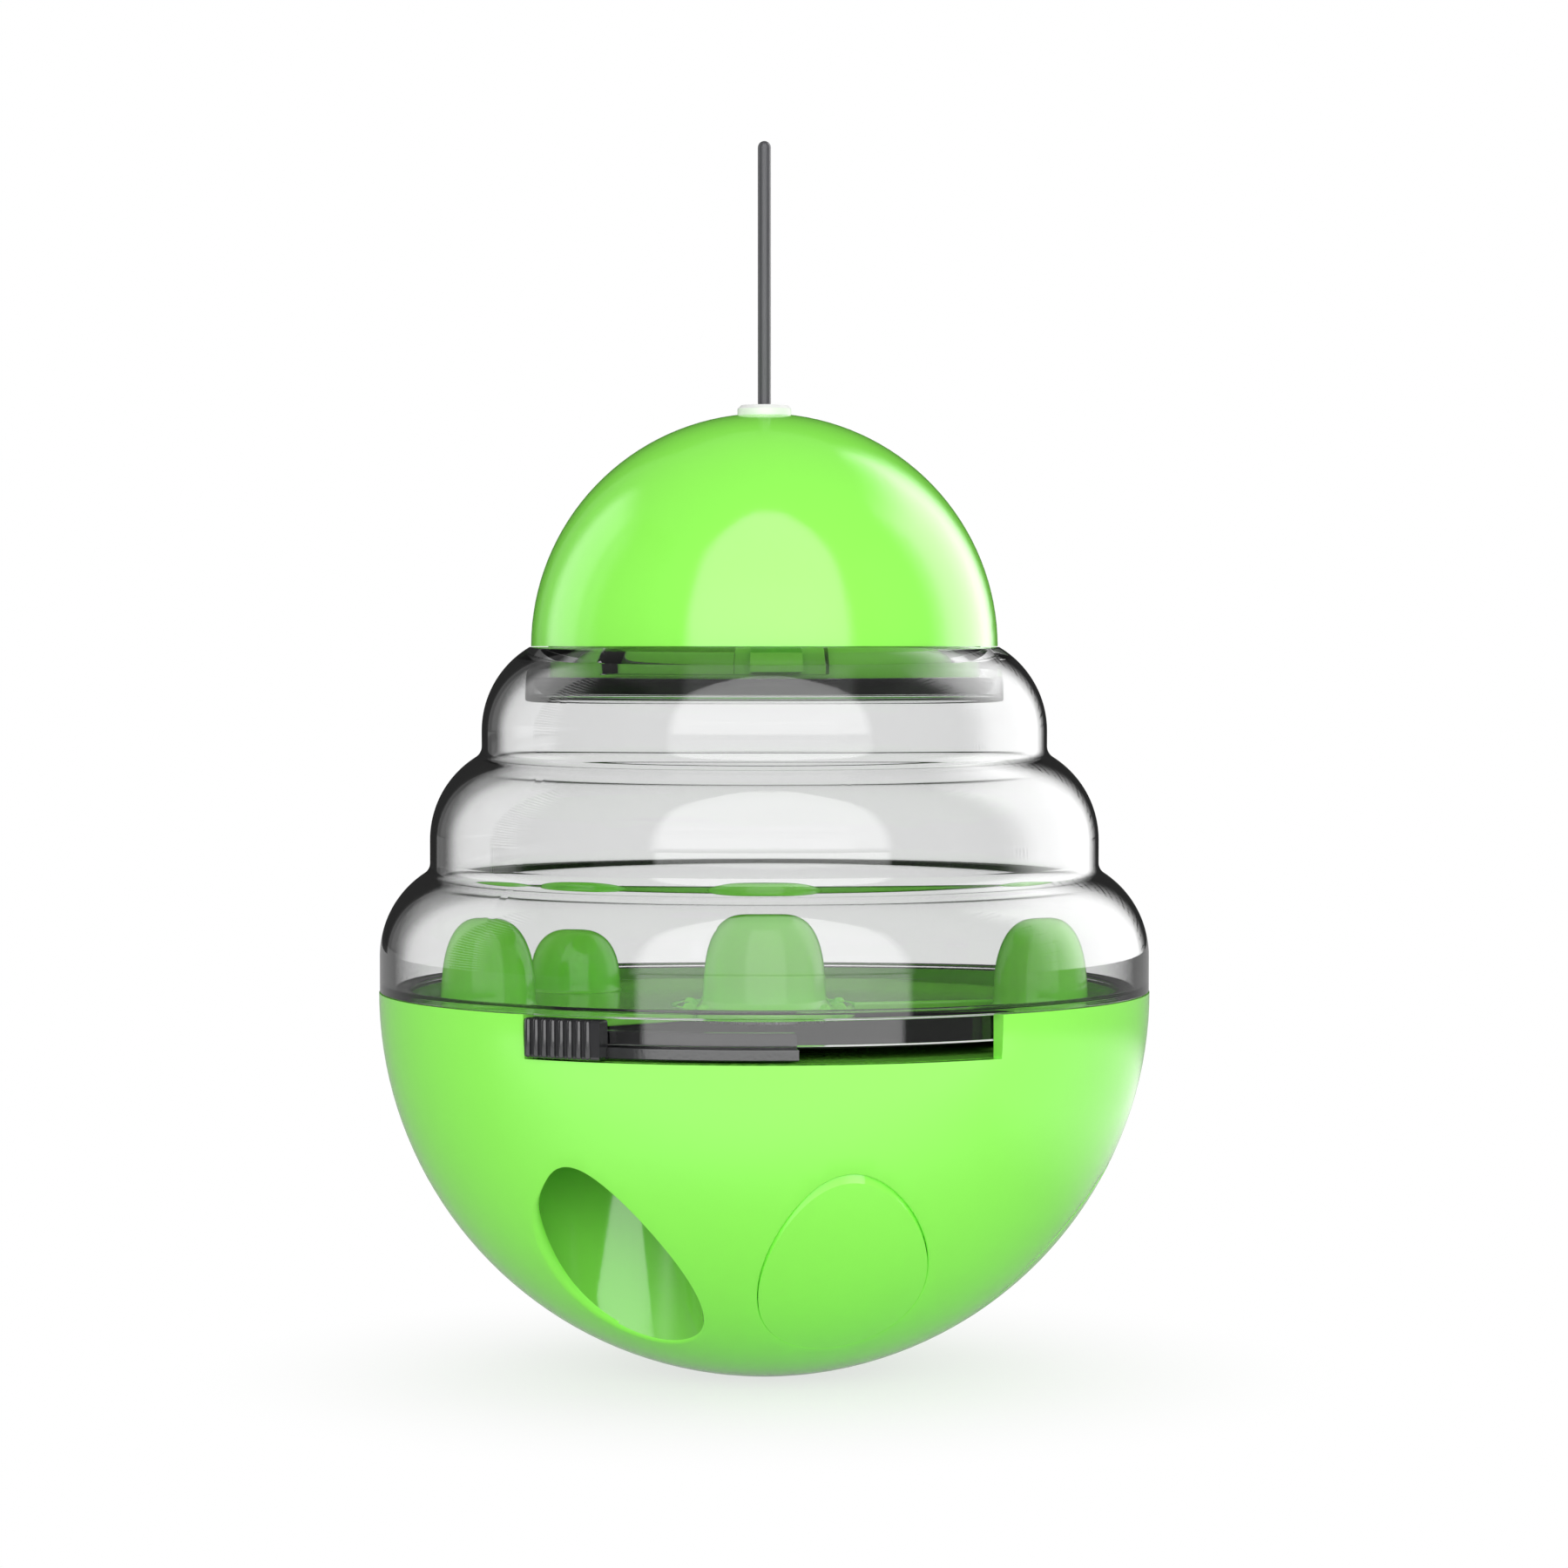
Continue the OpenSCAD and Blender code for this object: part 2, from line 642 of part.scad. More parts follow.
module wand_grommet() color(white) difference() {
    union() {
        rod(grommet_neck_r, cap_flat_z - grommet_neck_l, cap_flat_z + eps);
        translate([0, 0, cap_flat_z])
            rotate_extrude()
                polygon([[0, 0], [grommet_r, 0], [grommet_r, grommet_h * 0.65],
                         [grommet_r - grommet_h * 0.35, grommet_h], [0, grommet_h]]);
    }
    rod(wand_bore_r, cap_flat_z - grommet_neck_l - 1, cap_flat_z + grommet_h + 1);
}

module wand() color(grey) union() {
    rod(wand_r, wand_bot, cap_flat_z + wand_h - wand_r);
    translate([0, 0, cap_flat_z + wand_h - wand_r]) sphere(r = wand_r);
}

bowl();
port_plug_1();
port_plug_2();
port_plug_3();
port_plug_4();
counterweight();
weight_washers();
weight_screws();
floor_plate();
floor_screws();
gate_disc();
gate_slider();
gate_washer();
deck();
hub_post();
hub_screw();
hopper();
neck_seal();
cap();
cap_collar();
collar_screws();
wand_grommet();
wand();
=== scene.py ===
"""Looks of the rolling treat dispenser: green bowl and cap, clear stepped hopper, black gate and wand."""

import json
import logging
import math
from dataclasses import dataclass, field
from enum import Enum
from functools import partial
from typing import Callable, Optional

import bmesh
import bpy
from bpy.types import ID, Material, Mesh, Node, NodeSocket, NodeTree, Object
from mathutils import Matrix, Vector
from mathutils.geometry import delaunay_2d_cdt
from mathutils.kdtree import KDTree

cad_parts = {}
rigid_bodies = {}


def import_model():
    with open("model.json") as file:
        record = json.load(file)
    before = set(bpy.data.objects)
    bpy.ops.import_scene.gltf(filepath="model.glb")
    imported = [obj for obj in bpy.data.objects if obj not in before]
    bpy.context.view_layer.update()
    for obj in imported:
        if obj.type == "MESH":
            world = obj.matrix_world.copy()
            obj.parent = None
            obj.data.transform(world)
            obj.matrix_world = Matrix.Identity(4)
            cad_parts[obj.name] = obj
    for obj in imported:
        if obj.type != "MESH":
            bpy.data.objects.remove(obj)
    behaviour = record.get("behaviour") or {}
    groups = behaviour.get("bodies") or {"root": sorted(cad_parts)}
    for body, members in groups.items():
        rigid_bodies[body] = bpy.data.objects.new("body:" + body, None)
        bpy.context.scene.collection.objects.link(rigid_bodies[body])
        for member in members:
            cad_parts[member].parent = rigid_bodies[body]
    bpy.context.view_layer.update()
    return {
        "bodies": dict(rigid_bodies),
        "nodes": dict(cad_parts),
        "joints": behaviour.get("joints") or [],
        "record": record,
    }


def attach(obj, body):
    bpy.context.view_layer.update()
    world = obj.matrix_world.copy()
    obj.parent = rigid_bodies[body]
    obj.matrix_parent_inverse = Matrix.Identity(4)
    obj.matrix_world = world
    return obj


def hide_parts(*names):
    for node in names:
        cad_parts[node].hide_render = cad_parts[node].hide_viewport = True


LOG = logging.getLogger("treat_dispenser")
MM = 0.001

# Edges that turn by more than SHARP_DEG stay sharp. The guards are how far a point stands off the end of a
# rounding, in along a slab's flat face and on along its side.
SHARP_DEG = 38.0
GUARD = 0.04
FACE_GUARD = 0.05
SIDE_GUARD = 0.03
DOME_STEPS = 36
TINY = 1e-6

# Sizes that several pieces share, in millimetres and degrees.
RIM_Z = 51.257
GATE_LOW = 45.957
GATE_HIGH = 47.457
FLOOR_SCREW_RING = 43.55
FLOOR_SCREW_AZS = (119.5, 188.5, 257.5)

# The skin of every moulding: scale of its waves and of its rub marks, in cycles per metre.
WAVE_SCALE = 34.0
MARK_SCALE = 160.0
MARK_STRETCH = (9.0, 9.0, 0.6)
MARK_TURN = (0.5, 0.3, 0.0)
MARK_MEAN = 0.45
LEAST_ROUGHNESS = 0.02

Point2 = tuple[float, float]
Point3 = tuple[float, float, float]
Vary = Callable[[float, float, float], float]
Inputs = dict[object, object]
Sockets = dict[str, tuple[str, object]]


class Body(Enum):
    """The bodies of the frame that new pieces ride on."""

    BASE = "base"
    GATE = "gate"
    HOPPER = "hopper_body"
    SEAL = "seal"
    CAP = "cap_body"


class Slot(Enum):
    """The record's material slots that new pieces have."""

    GREEN = "green_shell"
    CLEAR = "clear_hopper"
    GATE = "gate_black"
    SEAL = "seal_rubber"
    STEEL = "screw_steel"


# Node trees


def feed(tree: NodeTree, node: Node, inputs: Inputs) -> Node:
    """Gives a node's inputs their links and values.

    Args:
        tree: the tree that holds the node.
        node: the node.
        inputs: an input's name or number to a socket or a value.

    Returns:
        The same node.
    """
    for key, value in inputs.items():
        if isinstance(value, NodeSocket):
            tree.links.new(value, node.inputs[key])
        else:
            node.inputs[key].default_value = value
    return node


def add_node(tree: NodeTree, kind: str, inputs: Inputs, **settings: object) -> Node:
    """Adds a node with its settings and inputs.

    Args:
        tree: the tree that gets the node.
        kind: the node's type.
        inputs: an input's name or number to a socket or a value.
        settings: the node's own properties.

    Returns:
        The new node.
    """
    made = tree.nodes.new(kind)
    for key, value in settings.items():
        setattr(made, key, value)
    return feed(tree, made, inputs)


def math_node(tree: NodeTree, operation: str, *values: object) -> NodeSocket:
    """Adds a Math node whose inputs are sockets or numbers, and returns its output."""
    return add_node(tree, "ShaderNodeMath", dict(enumerate(values)), operation=operation).outputs[0]


def noise_node(tree: NodeTree, vector: NodeSocket, scale: object, detail: float) -> NodeSocket:
    """Adds a Noise Texture with a scale in cycles per metre, and returns its factor."""
    inputs = {"Vector": vector, "Scale": scale, "Detail": detail}
    return add_node(tree, "ShaderNodeTexNoise", inputs).outputs["Fac"]


def ramp_node(tree: NodeTree, value: NodeSocket, first: float, last: float, level: float = 0.0) -> NodeSocket:
    """Adds a smooth ramp.

    Args:
        tree: the tree that gets it.
        value: the socket that it reads.
        first: the value at which it starts.
        last: the value at which it reaches 1.
        level: its level at the start.

    Returns:
        The socket with its level.
    """
    inputs = {"Value": value, "From Min": first, "From Max": last, "To Min": level, "To Max": 1.0}
    return add_node(tree, "ShaderNodeMapRange", inputs, interpolation_type="SMOOTHSTEP").outputs["Result"]


def dimmed(tree: NodeTree, path: object, level: float, within: float) -> NodeSocket:
    """Adds a level that falls to a share of itself where it is seen through clear plastic.

    Args:
        tree: the tree that gets the nodes.
        path: the outputs of its Light Path node.
        level: the level where nothing clear is in the way.
        within: the share of it that is left through clear plastic.

    Returns:
        The socket with the level.
    """
    past = math_node(tree, "GREATER_THAN", path["Transmission Depth"], 0.5)
    return math_node(tree, "ADD", math_node(tree, "MULTIPLY", past, level * (within - 1.0)), level)


def new_tree(name: str, kind: str, inputs: Sockets, outputs: dict[str, str]) -> NodeTree:
    """Starts a node group with named sockets.

    Args:
        name: the group's name.
        kind: Shader or Geometry.
        inputs: socket name to its kind and starting value, None for a kind that has no value.
        outputs: socket name to its kind.

    Returns:
        The group, with its input and output nodes placed.
    """
    tree = bpy.data.node_groups.new(name, kind + "NodeTree")
    for label, (form, value) in inputs.items():
        socket = tree.interface.new_socket(label, in_out="INPUT", socket_type="NodeSocket" + form)
        if value is not None:
            socket.default_value = value
    for label, form in outputs.items():
        tree.interface.new_socket(label, in_out="OUTPUT", socket_type="NodeSocket" + form)
    tree.nodes.new("NodeGroupInput").name = "In"
    tree.nodes.new("NodeGroupOutput").name = "Out"
    return tree


def moulded_skin_group() -> NodeTree:
    """Builds the skin of a moulding: a faint waviness, fine rub marks and a drift of shade.

    Returns:
        A group with Colour, Roughness and Height outputs.
    """
    inputs = {
        "Colour": ("Color", (0.5, 0.5, 0.5, 1.0)),
        "Drift": ("Float", 0.04),
        "Roughness": ("Float", 0.2),
        "Rub": ("Float", 0.05),
        "Grain Scale": ("Float", 900.0),
        "Grain": ("Float", 0.2),
    }
    outputs = {"Colour": "Color", "Roughness": "Float", "Height": "Float"}
    tree = new_tree("moulded_skin", "Shader", inputs, outputs)
    entry = tree.nodes["In"].outputs
    calc = partial(math_node, tree)
    where = add_node(tree, "ShaderNodeTexCoord", {}).outputs["Object"]
    broad = noise_node(tree, where, WAVE_SCALE, 2.0)
    swing = calc("SUBTRACT", broad, 0.5)
    shade = calc("MULTIPLY_ADD", swing, entry["Drift"], 1.0)
    tint = add_node(tree, "ShaderNodeVectorMath", {0: entry["Colour"], "Scale": shade}, operation="SCALE")
    stretched = {"Vector": where, "Scale": MARK_STRETCH, "Rotation": MARK_TURN}
    stretch = add_node(tree, "ShaderNodeMapping", stretched)
    marks = calc("SUBTRACT", noise_node(tree, stretch.outputs["Vector"], MARK_SCALE, 4.0), MARK_MEAN)
    rub = calc("ADD", calc("MULTIPLY", marks, entry["Rub"]), calc("MULTIPLY", swing, entry["Rub"]))
    rough = calc("MAXIMUM", calc("ADD", entry["Roughness"], rub), LEAST_ROUGHNESS)
    grain = calc("MULTIPLY", noise_node(tree, where, entry["Grain Scale"], 3.0), entry["Grain"])
    feed(tree, tree.nodes["Out"], {"Colour": tint.outputs[0], "Roughness": rough, "Height": grain})
    return tree


# Materials


def new_material(name: str) -> tuple[Material, NodeTree, Node]:
    """Makes a material with nodes.

    Args:
        name: its name.

    Returns:
        The material, its tree and its Principled node.
    """
    material = bpy.data.materials.new(name)
    material.use_nodes = True
    return material, material.node_tree, material.node_tree.nodes["Principled BSDF"]


def mix_surface(tree: NodeTree, share: NodeSocket, first: Node, second: Node) -> None:
    """Mixes two shaders as a material's surface, the second by a share."""
    mix = add_node(tree, "ShaderNodeMixShader", {0: share, 1: first.outputs[0], 2: second.outputs[0]})
    feed(tree, tree.nodes["Material Output"], {"Surface": mix.outputs[0]})


@dataclass(frozen=True)
class Finish:
    """A plastic, rubber or metal finish that varies over its surface.

    Attributes:
        name: the material's name.
        colour: its base colour, linear.
        roughness: its mean roughness.
        drift: how much the shade varies over the piece.
        rub: how much the roughness varies with rub marks.
        grain_scale: cycles of grain per metre.
        grain: strength of the grain, from 0 to 1.
        bump: depth of the grain in metres.
        metallic: 1 for bare metal.
        specular: strength of its reflections, 0.5 for plain plastic.
    """

    name: str
    colour: Point3
    roughness: float
    drift: float = 0.05
    rub: float = 0.05
    grain_scale: float = 700.0
    grain: float = 0.5
    bump: float = 0.00002
    metallic: float = 0.0
    specular: float = 0.5

    def material(self) -> Material:
        """Returns the finish's material, made once."""
        return bpy.data.materials.get(self.name) or self.build()

    def skin(self, tree: NodeTree) -> bpy.types.NodeOutputs:
        """Adds the shared skin group with this finish's values.

        Args:
            tree: the material's tree.

        Returns:
            The group's outputs.
        """
        values = {
            "Colour": (*self.colour, 1.0),
            "Drift": self.drift,
            "Roughness": self.roughness,
            "Rub": self.rub,
            "Grain Scale": self.grain_scale,
            "Grain": self.grain,
        }
        group = bpy.data.node_groups.get("moulded_skin") or moulded_skin_group()
        return add_node(tree, "ShaderNodeGroup", values, node_tree=group).outputs

    def build(self) -> Material:
        """Makes the material.

        Returns:
            The new material.
        """
        material, tree, shader = new_material(self.name)
        skin = self.skin(tree)
        bump = add_node(tree, "ShaderNodeBump", {"Distance": self.bump, "Height": skin["Height"]})
        feed(tree, shader, {
            "Base Color": skin["Colour"],
            "Roughness": skin["Roughness"],
            "Normal": bump.outputs["Normal"],
            "Metallic": self.metallic,
            "Specular IOR Level": self.specular,
        })
        return material


@dataclass(frozen=True)
class ClearFinish(Finish):
    """Clear polished plastic that lets lamps through to what is behind it.

    Attributes:
        edge: what it lets through where the line of sight grazes it and passes a long way in the wall.
        graze: where between facing and grazing the change to the edge's colour starts and ends.
        lamp_share: how much of a lamp's light passes each surface.
        ior: its index of refraction.
    """

    edge: Point3 = (0.50, 0.50, 0.50)
    graze: Point2 = (0.55, 0.9)
    lamp_share: float = 0.62
    ior: float = 1.43

    def build(self) -> Material:
        """Makes the clear material.

        Returns:
            The new material, which lamps' rays pass as if it weren't there.
        """
        material, tree, shader = new_material(self.name)
        skin = self.skin(tree)
        facing = add_node(tree, "ShaderNodeLayerWeight", {"Blend": 0.5}).outputs["Facing"]
        shades = {"Factor": ramp_node(tree, facing, *self.graze), "A": skin["Colour"], "B": (*self.edge, 1.0)}
        tint = add_node(tree, "ShaderNodeMix", shades, data_type="RGBA")
        feed(tree, shader, {
            "Base Color": tint.outputs["Result"],
            "Roughness": skin["Roughness"],
            "Transmission Weight": 1.0,
            "IOR": self.ior,
        })
        through = add_node(tree, "ShaderNodeBsdfTransparent", {"Color": (*(self.lamp_share,) * 3, 1.0)})
        path = add_node(tree, "ShaderNodeLightPath", {}).outputs
        mix_surface(tree, path["Is Shadow Ray"], shader, through)
        return material


GREEN = Finish("green_moulding", (0.285, 0.920, 0.098), 0.12)
POST = Finish("green_posts", (0.285, 0.920, 0.098), 0.12, specular=1.0)
# Painted shade: the outlet's bore wears a darker green than the bowl, standing in for the shade deep inside
# it.
BORE_PAINTED_SHADE = Finish("green_bore_painted_shade", (0.170, 0.560, 0.062), 0.10)
BLACK = Finish("black_moulding", (0.020, 0.020, 0.022), 0.13, 0.3, 0.06, 2600.0)
DULL = Finish("black_sheet", (0.016, 0.017, 0.016), 0.5, 0.3, 0.2, 1800.0, specular=0.0)
RUBBER = Finish("seal_rubber_black", (0.012, 0.012, 0.013), 0.55, 0.3, 0.15, 3000.0)
WHITE = Finish("grommet_rubber_white", (0.82, 0.82, 0.81), 0.42, 0.04, 0.1, 2400.0)
WAND = Finish("wand_fibre_grey", (0.067, 0.067, 0.073), 0.36, 0.25, 0.2, 3500.0, specular=0.34)
IRON = Finish("cast_iron_grey", (0.30, 0.30, 0.31), 0.55, 0.3, 0.2, 1500.0, metallic=1.0)
STEEL = Finish("zinc_plated_steel", (0.62, 0.62, 0.64), 0.28, 0.12, 0.18, 900.0, metallic=1.0)
CLEAR = ClearFinish("clear_plastic", (0.875, 0.878, 0.878), 0.01, 0.02, 0.01)


# Mesh building


def clamped(share: float) -> float:
    """Keeps a share between 0 and 1."""
    return min(1.0, max(0.0, share))


def eased(share: float) -> float:
    """Keeps a share between 0 and 1 and softens its start and end."""
    share = clamped(share)
    return share * share * (3.0 - 2.0 * share)


def arc(centre: Point2, radius: float, start: float, stop: float, steps: int) -> list[Point2]:
    """Points along an arc, both ends included.

    Args:
        centre: the arc's centre.
        radius: its radius.
        start: first angle in degrees.
        stop: last angle in degrees.
        steps: number of pieces that the arc is cut into.

    Returns:
        steps + 1 points.
    """
    made = []
    for i in range(steps + 1):
        angle = math.radians(start + (stop - start) * i / steps)
        made.append((centre[0] + radius * math.cos(angle), centre[1] + radius * math.sin(angle)))
    return made


def fillet(corners: list[Point3], steps: int = 4) -> list[Point2]:
    """Rounds the corners of a closed outline.

    Args:
        corners: each corner's two coordinates and its radius, 0 for a point that stays as it is.
        steps: number of pieces that each rounding is cut into.

    Returns:
        The outline with an arc at each corner that has a radius, and a point just past each of its ends, so
        that the faces beside it shade flat.
    """
    made: list[Point2] = []
    count = len(corners)
    for i, (x, y, radius) in enumerate(corners):
        here = Vector((x, y))
        back = Vector(corners[i - 1][:2]) - here
        on = Vector(corners[(i + 1) % count][:2]) - here
        if radius <= 0.0 or back.length < 1e-9 or on.length < 1e-9:
            made.append((x, y))
            continue
        half = back.angle(on) / 2
        reach = min(radius / math.tan(half), 0.45 * back.length, 0.45 * on.length)
        size = reach * math.tan(half)
        centre = here + (back.normalized() + on.normalized()).normalized() * (size / math.sin(half))
        first = here + back.normalized() * reach - centre
        turn = first.angle_signed(here + on.normalized() * reach - centre)
        guard = GUARD if reach < 0.4 * min(back.length, on.length) else 0.0
        if guard:
            made.append(tuple(here + back.normalized() * (reach + guard)))
        for k in range(steps + 1):
            spoke = first.copy()
            spoke.rotate(Matrix.Rotation(-turn * k / steps, 2))
            made.append((centre.x + spoke.x, centre.y + spoke.y))
        if guard:
            made.append(tuple(here + on.normalized() * (reach + guard)))
    return made


def linked(name: str, data: ID) -> Object:
    """Makes an object of some data and links it to the scene."""
    made = bpy.data.objects.new(name, data)
    bpy.context.scene.collection.objects.link(made)
    return made


def smoothed(mesh: Mesh, sharp_deg: float = SHARP_DEG) -> Mesh:
    """Shades a mesh smooth, but for edges that turn by more than an angle, and returns it."""
    mesh.shade_smooth()
    mesh.set_sharp_from_angle(angle=math.radians(sharp_deg))
    return mesh


def mesh_object(name: str, points: list[Point3], faces: list[tuple[int, ...]]) -> Object:
    """Makes an object from points in millimetres, smooth but for its sharp edges.

    Args:
        name: the object's name.
        points: points in millimetres, in the row frame.
        faces: tuples of point numbers.

    Returns:
        The new object, linked to the scene.
    """
    mesh = bpy.data.meshes.new(name)
    mesh.from_pydata([(x * MM, y * MM, z * MM) for x, y, z in points], [], faces)
    mesh.update()
    return linked(name, smoothed(mesh))


def bmesh_object(name: str, whole: bmesh.types.BMesh, sharp_deg: float = SHARP_DEG) -> Object:
    """Ends a bmesh as an object.

    Args:
        name: the object's name.
        whole: the bmesh, which is freed.
        sharp_deg: edges that turn by more than this stay sharp.

    Returns:
        The new object, linked to the scene.
    """
    mesh = bpy.data.meshes.new(name)
    whole.to_mesh(mesh)
    whole.free()
    return linked(name, smoothed(mesh, sharp_deg))


def lathe(
    name: str,
    outline: list[Point2],
    segments: int = 96,
    angles: Optional[list[float]] = None,
    radius_at: Optional[Vary] = None,
    height_at: Optional[Vary] = None,
    centre: Point2 = (0.0, 0.0),
) -> Object:
    """Turns a closed outline round the Z axis.

    Args:
        name: the object's name.
        outline: radius and height of each point in millimetres, counterclockwise. Radius 0 closes a pole.
        segments: number of steps round the axis.
        angles: the azimuths in degrees, 0 at the front and positive towards +X, where they aren't even.
        radius_at: gives a point's radius from its azimuth, radius and height, where it varies round the axis.
        height_at: gives a point's height from the same three, where it varies round the axis.
        centre: where the axis stands.

    Returns:
        The new object.
    """
    points: list[Point3] = []
    columns: list[list[int]] = []
    poles: dict[int, int] = {}
    for azimuth in angles or [360.0 * i / segments for i in range(segments)]:
        column = []
        for k, (radius, height) in enumerate(outline):
            if radius < TINY:
                if k not in poles:
                    poles[k] = len(points)
                    points.append((*centre, height))
                column.append(poles[k])
                continue
            x, y = spot(radius_at(azimuth, radius, height) if radius_at else radius, azimuth)
            z = height_at(azimuth, radius, height) if height_at else height
            column.append(len(points))
            points.append((centre[0] + x, centre[1] + y, z))
        columns.append(column)
    faces = []
    for i, here in enumerate(columns):
        there = columns[(i + 1) % len(columns)]
        for k in range(len(outline)):
            n = (k + 1) % len(outline)
            ring = [here[k], there[k], there[n], here[n]]
            face = [v for j, v in enumerate(ring) if v != ring[j - 1]]
            if len(set(face)) >= 3:
                faces.append(tuple(face))
    return mesh_object(name, points, faces)


def cylinder(radius: float, low: float, high: float, centre: Point2 = (0.0, 0.0), sides: int = 96) -> Object:
    """Makes a plain cylinder to bore with, from its radius, its two heights and its place."""
    return lathe("bore", [(0.0, low), (radius, low), (radius, high), (0.0, high)], sides, centre=centre)


def dome(radius: float, flat_r: float, low: float, high: float, full: float, first: int = 2) -> list[Point2]:
    """Side of a round-topped post, fuller at its shoulder than an ellipse.

    Args:
        radius: its radius at the foot.
        flat_r: radius of the flat on its top.
        low: height of its foot.
        high: height of its top.
        full: 2 for an ellipse, more for a squarer shoulder.
        first: number of the first of the DOME_STEPS steps, past a fillet at the foot.

    Returns:
        Radius and height of each point from the foot up to the flat.
    """
    made = []
    for i in range(first, DOME_STEPS + 1):
        a = math.radians(90.0 * i / DOME_STEPS)
        across = flat_r + (radius - flat_r) * max(0.0, math.cos(a)) ** (2.0 / full)
        made.append((across, low + (high - low) * math.sin(a) ** (2.0 / full)))
    return made


def spot(radius: float, azimuth: float) -> Point2:
    """Place on a ring round the axis at an azimuth in degrees, 0 at the front and positive towards +X."""
    a = math.radians(azimuth)
    return (radius * math.sin(a), -radius * math.cos(a))


def sweep(radius: float, first: float, last: float, step: float = 1.5) -> list[Point2]:
    """Places along a ring from one azimuth to another, at most a step apart, both ends included."""
    count = max(1, math.ceil(abs(last - first) / step))
    return [spot(radius, first + (last - first) * i / count) for i in range(count + 1)]


def band(outer: float, inner: float, first: float, last: float) -> list[Point2]:
    """Outline of a piece of a flat ring between two radii and two azimuths."""
    return sweep(outer, first, last) + sweep(inner, last, first)


def covered(rings: list[list[Vector]], place: Vector) -> bool:
    """Tells whether a place lies inside the first of some rings and outside the others.

    Args:
        rings: closed rings of flat points.
        place: the place.

    Returns:
        Whether an odd number of the rings' edges lies to one side of it.
    """
    odd = False
    for ring in rings:
        for i, here in enumerate(ring):
            back = ring[i - 1]
            if (here.y > place.y) != (back.y > place.y):
                across = here.x + (place.y - here.y) * (back.x - here.x) / (back.y - here.y)
                odd ^= across > place.x
    return odd


def slab(name: str, outline: list[Point2], low: float, high: float, soft: float = 0.3) -> Object:
    """Raises a flat outline into a plate with rounded edges.

    Args:
        name: the object's name.
        outline: its corners, counterclockwise from above.
        low: height of its underside.
        high: height of its top.
        soft: radius of its edges.

    Returns:
        The new object.
    """
    count = len(outline)
    inward = []
    for i, here in enumerate(outline):
        back = (Vector(here) - Vector(outline[i - 1])).normalized()
        on = (Vector(outline[(i + 1) % count]) - Vector(here)).normalized()
        middle = (Vector((-back.y, back.x)) + Vector((-on.y, on.x))).normalized()
        stretch = max(0.5, math.sqrt(max(0.0, (1.0 + back.dot(on)) / 2.0)))
        inward.append(middle / stretch)
    levels = [(soft + FACE_GUARD, low)]
    for a in (0, 30, 60, 90):
        turn = math.radians(a)
        levels.append((soft * (1.0 - math.sin(turn)), low + soft * (1.0 - math.cos(turn))))
    levels.append((0.0, low + soft + SIDE_GUARD))
    levels += [(inset, high + low - height) for inset, height in reversed(levels)]
    points = []
    for inset, height in levels:
        points += [(x + n.x * inset, y + n.y * inset, height) for (x, y), n in zip(outline, inward)]
    faces = [tuple(reversed(range(count)))]
    for k in range(len(levels) - 1):
        for i in range(count):
            n = (i + 1) % count
            faces.append((k * count + i, k * count + n, (k + 1) * count + n, (k + 1) * count + i))
    faces.append(tuple(range((len(levels) - 1) * count, len(levels) * count)))
    return mesh_object(name, points, faces)


def applied(piece: Object) -> Object:
    """Turns a piece and its modifiers into a plain mesh.

    Args:
        piece: the piece, which keeps its name.

    Returns:
        The same piece without modifiers.
    """
    bpy.context.view_layer.update()
    graph = bpy.context.evaluated_depsgraph_get()
    mesh = bpy.data.meshes.new_from_object(piece.evaluated_get(graph), depsgraph=graph)
    piece.modifiers.clear()
    piece.data = mesh
    mesh.name = piece.name
    smoothed(mesh)
    return piece


def bored(piece: Object, cutter: Object) -> Object:
    """Cuts one piece out of another.

    Args:
        piece: the piece that is cut.
        cutter: the piece that cuts, which is deleted.

    Returns:
        The cut piece.
    """
    modifier = piece.modifiers.new("bore", "BOOLEAN")
    modifier.operation = "DIFFERENCE"
    modifier.solver = "EXACT"
    modifier.object = cutter
    applied(piece)
    bpy.data.objects.remove(cutter)
    return piece


def joined(name: str, pieces: list[Object]) -> Object:
    """Makes one object of several.

    Args:
        name: the new object's name.
        pieces: the objects, which are deleted.

    Returns:
        The new object.
    """
    whole = bmesh.new()
    for piece in pieces:
        whole.from_mesh(piece.data)
        bpy.data.objects.remove(piece)
    return bmesh_object(name, whole)


# Geometry Nodes for what repeats or follows a path

RING_INPUTS: Sockets = {
    "Count": ("Int", 3),
    "Ring Radius": ("Float", 0.01),
    "First Azimuth": ("Float", 0.0),
    "Azimuth Step": ("Float", 2.0944),
    "Height": ("Float", 0.0),
}
THREAD_INPUTS: Sockets = {
    "Thread Radius": ("Float", 0.0013),
    "Thread Depth": ("Float", 0.0002),
    "Pitch": ("Float", 0.0011),
    "Thread Length": ("Float", 0.010),
    "Tip": ("Float", -0.0115),
    "Tilt": ("Float", 0.0),
}


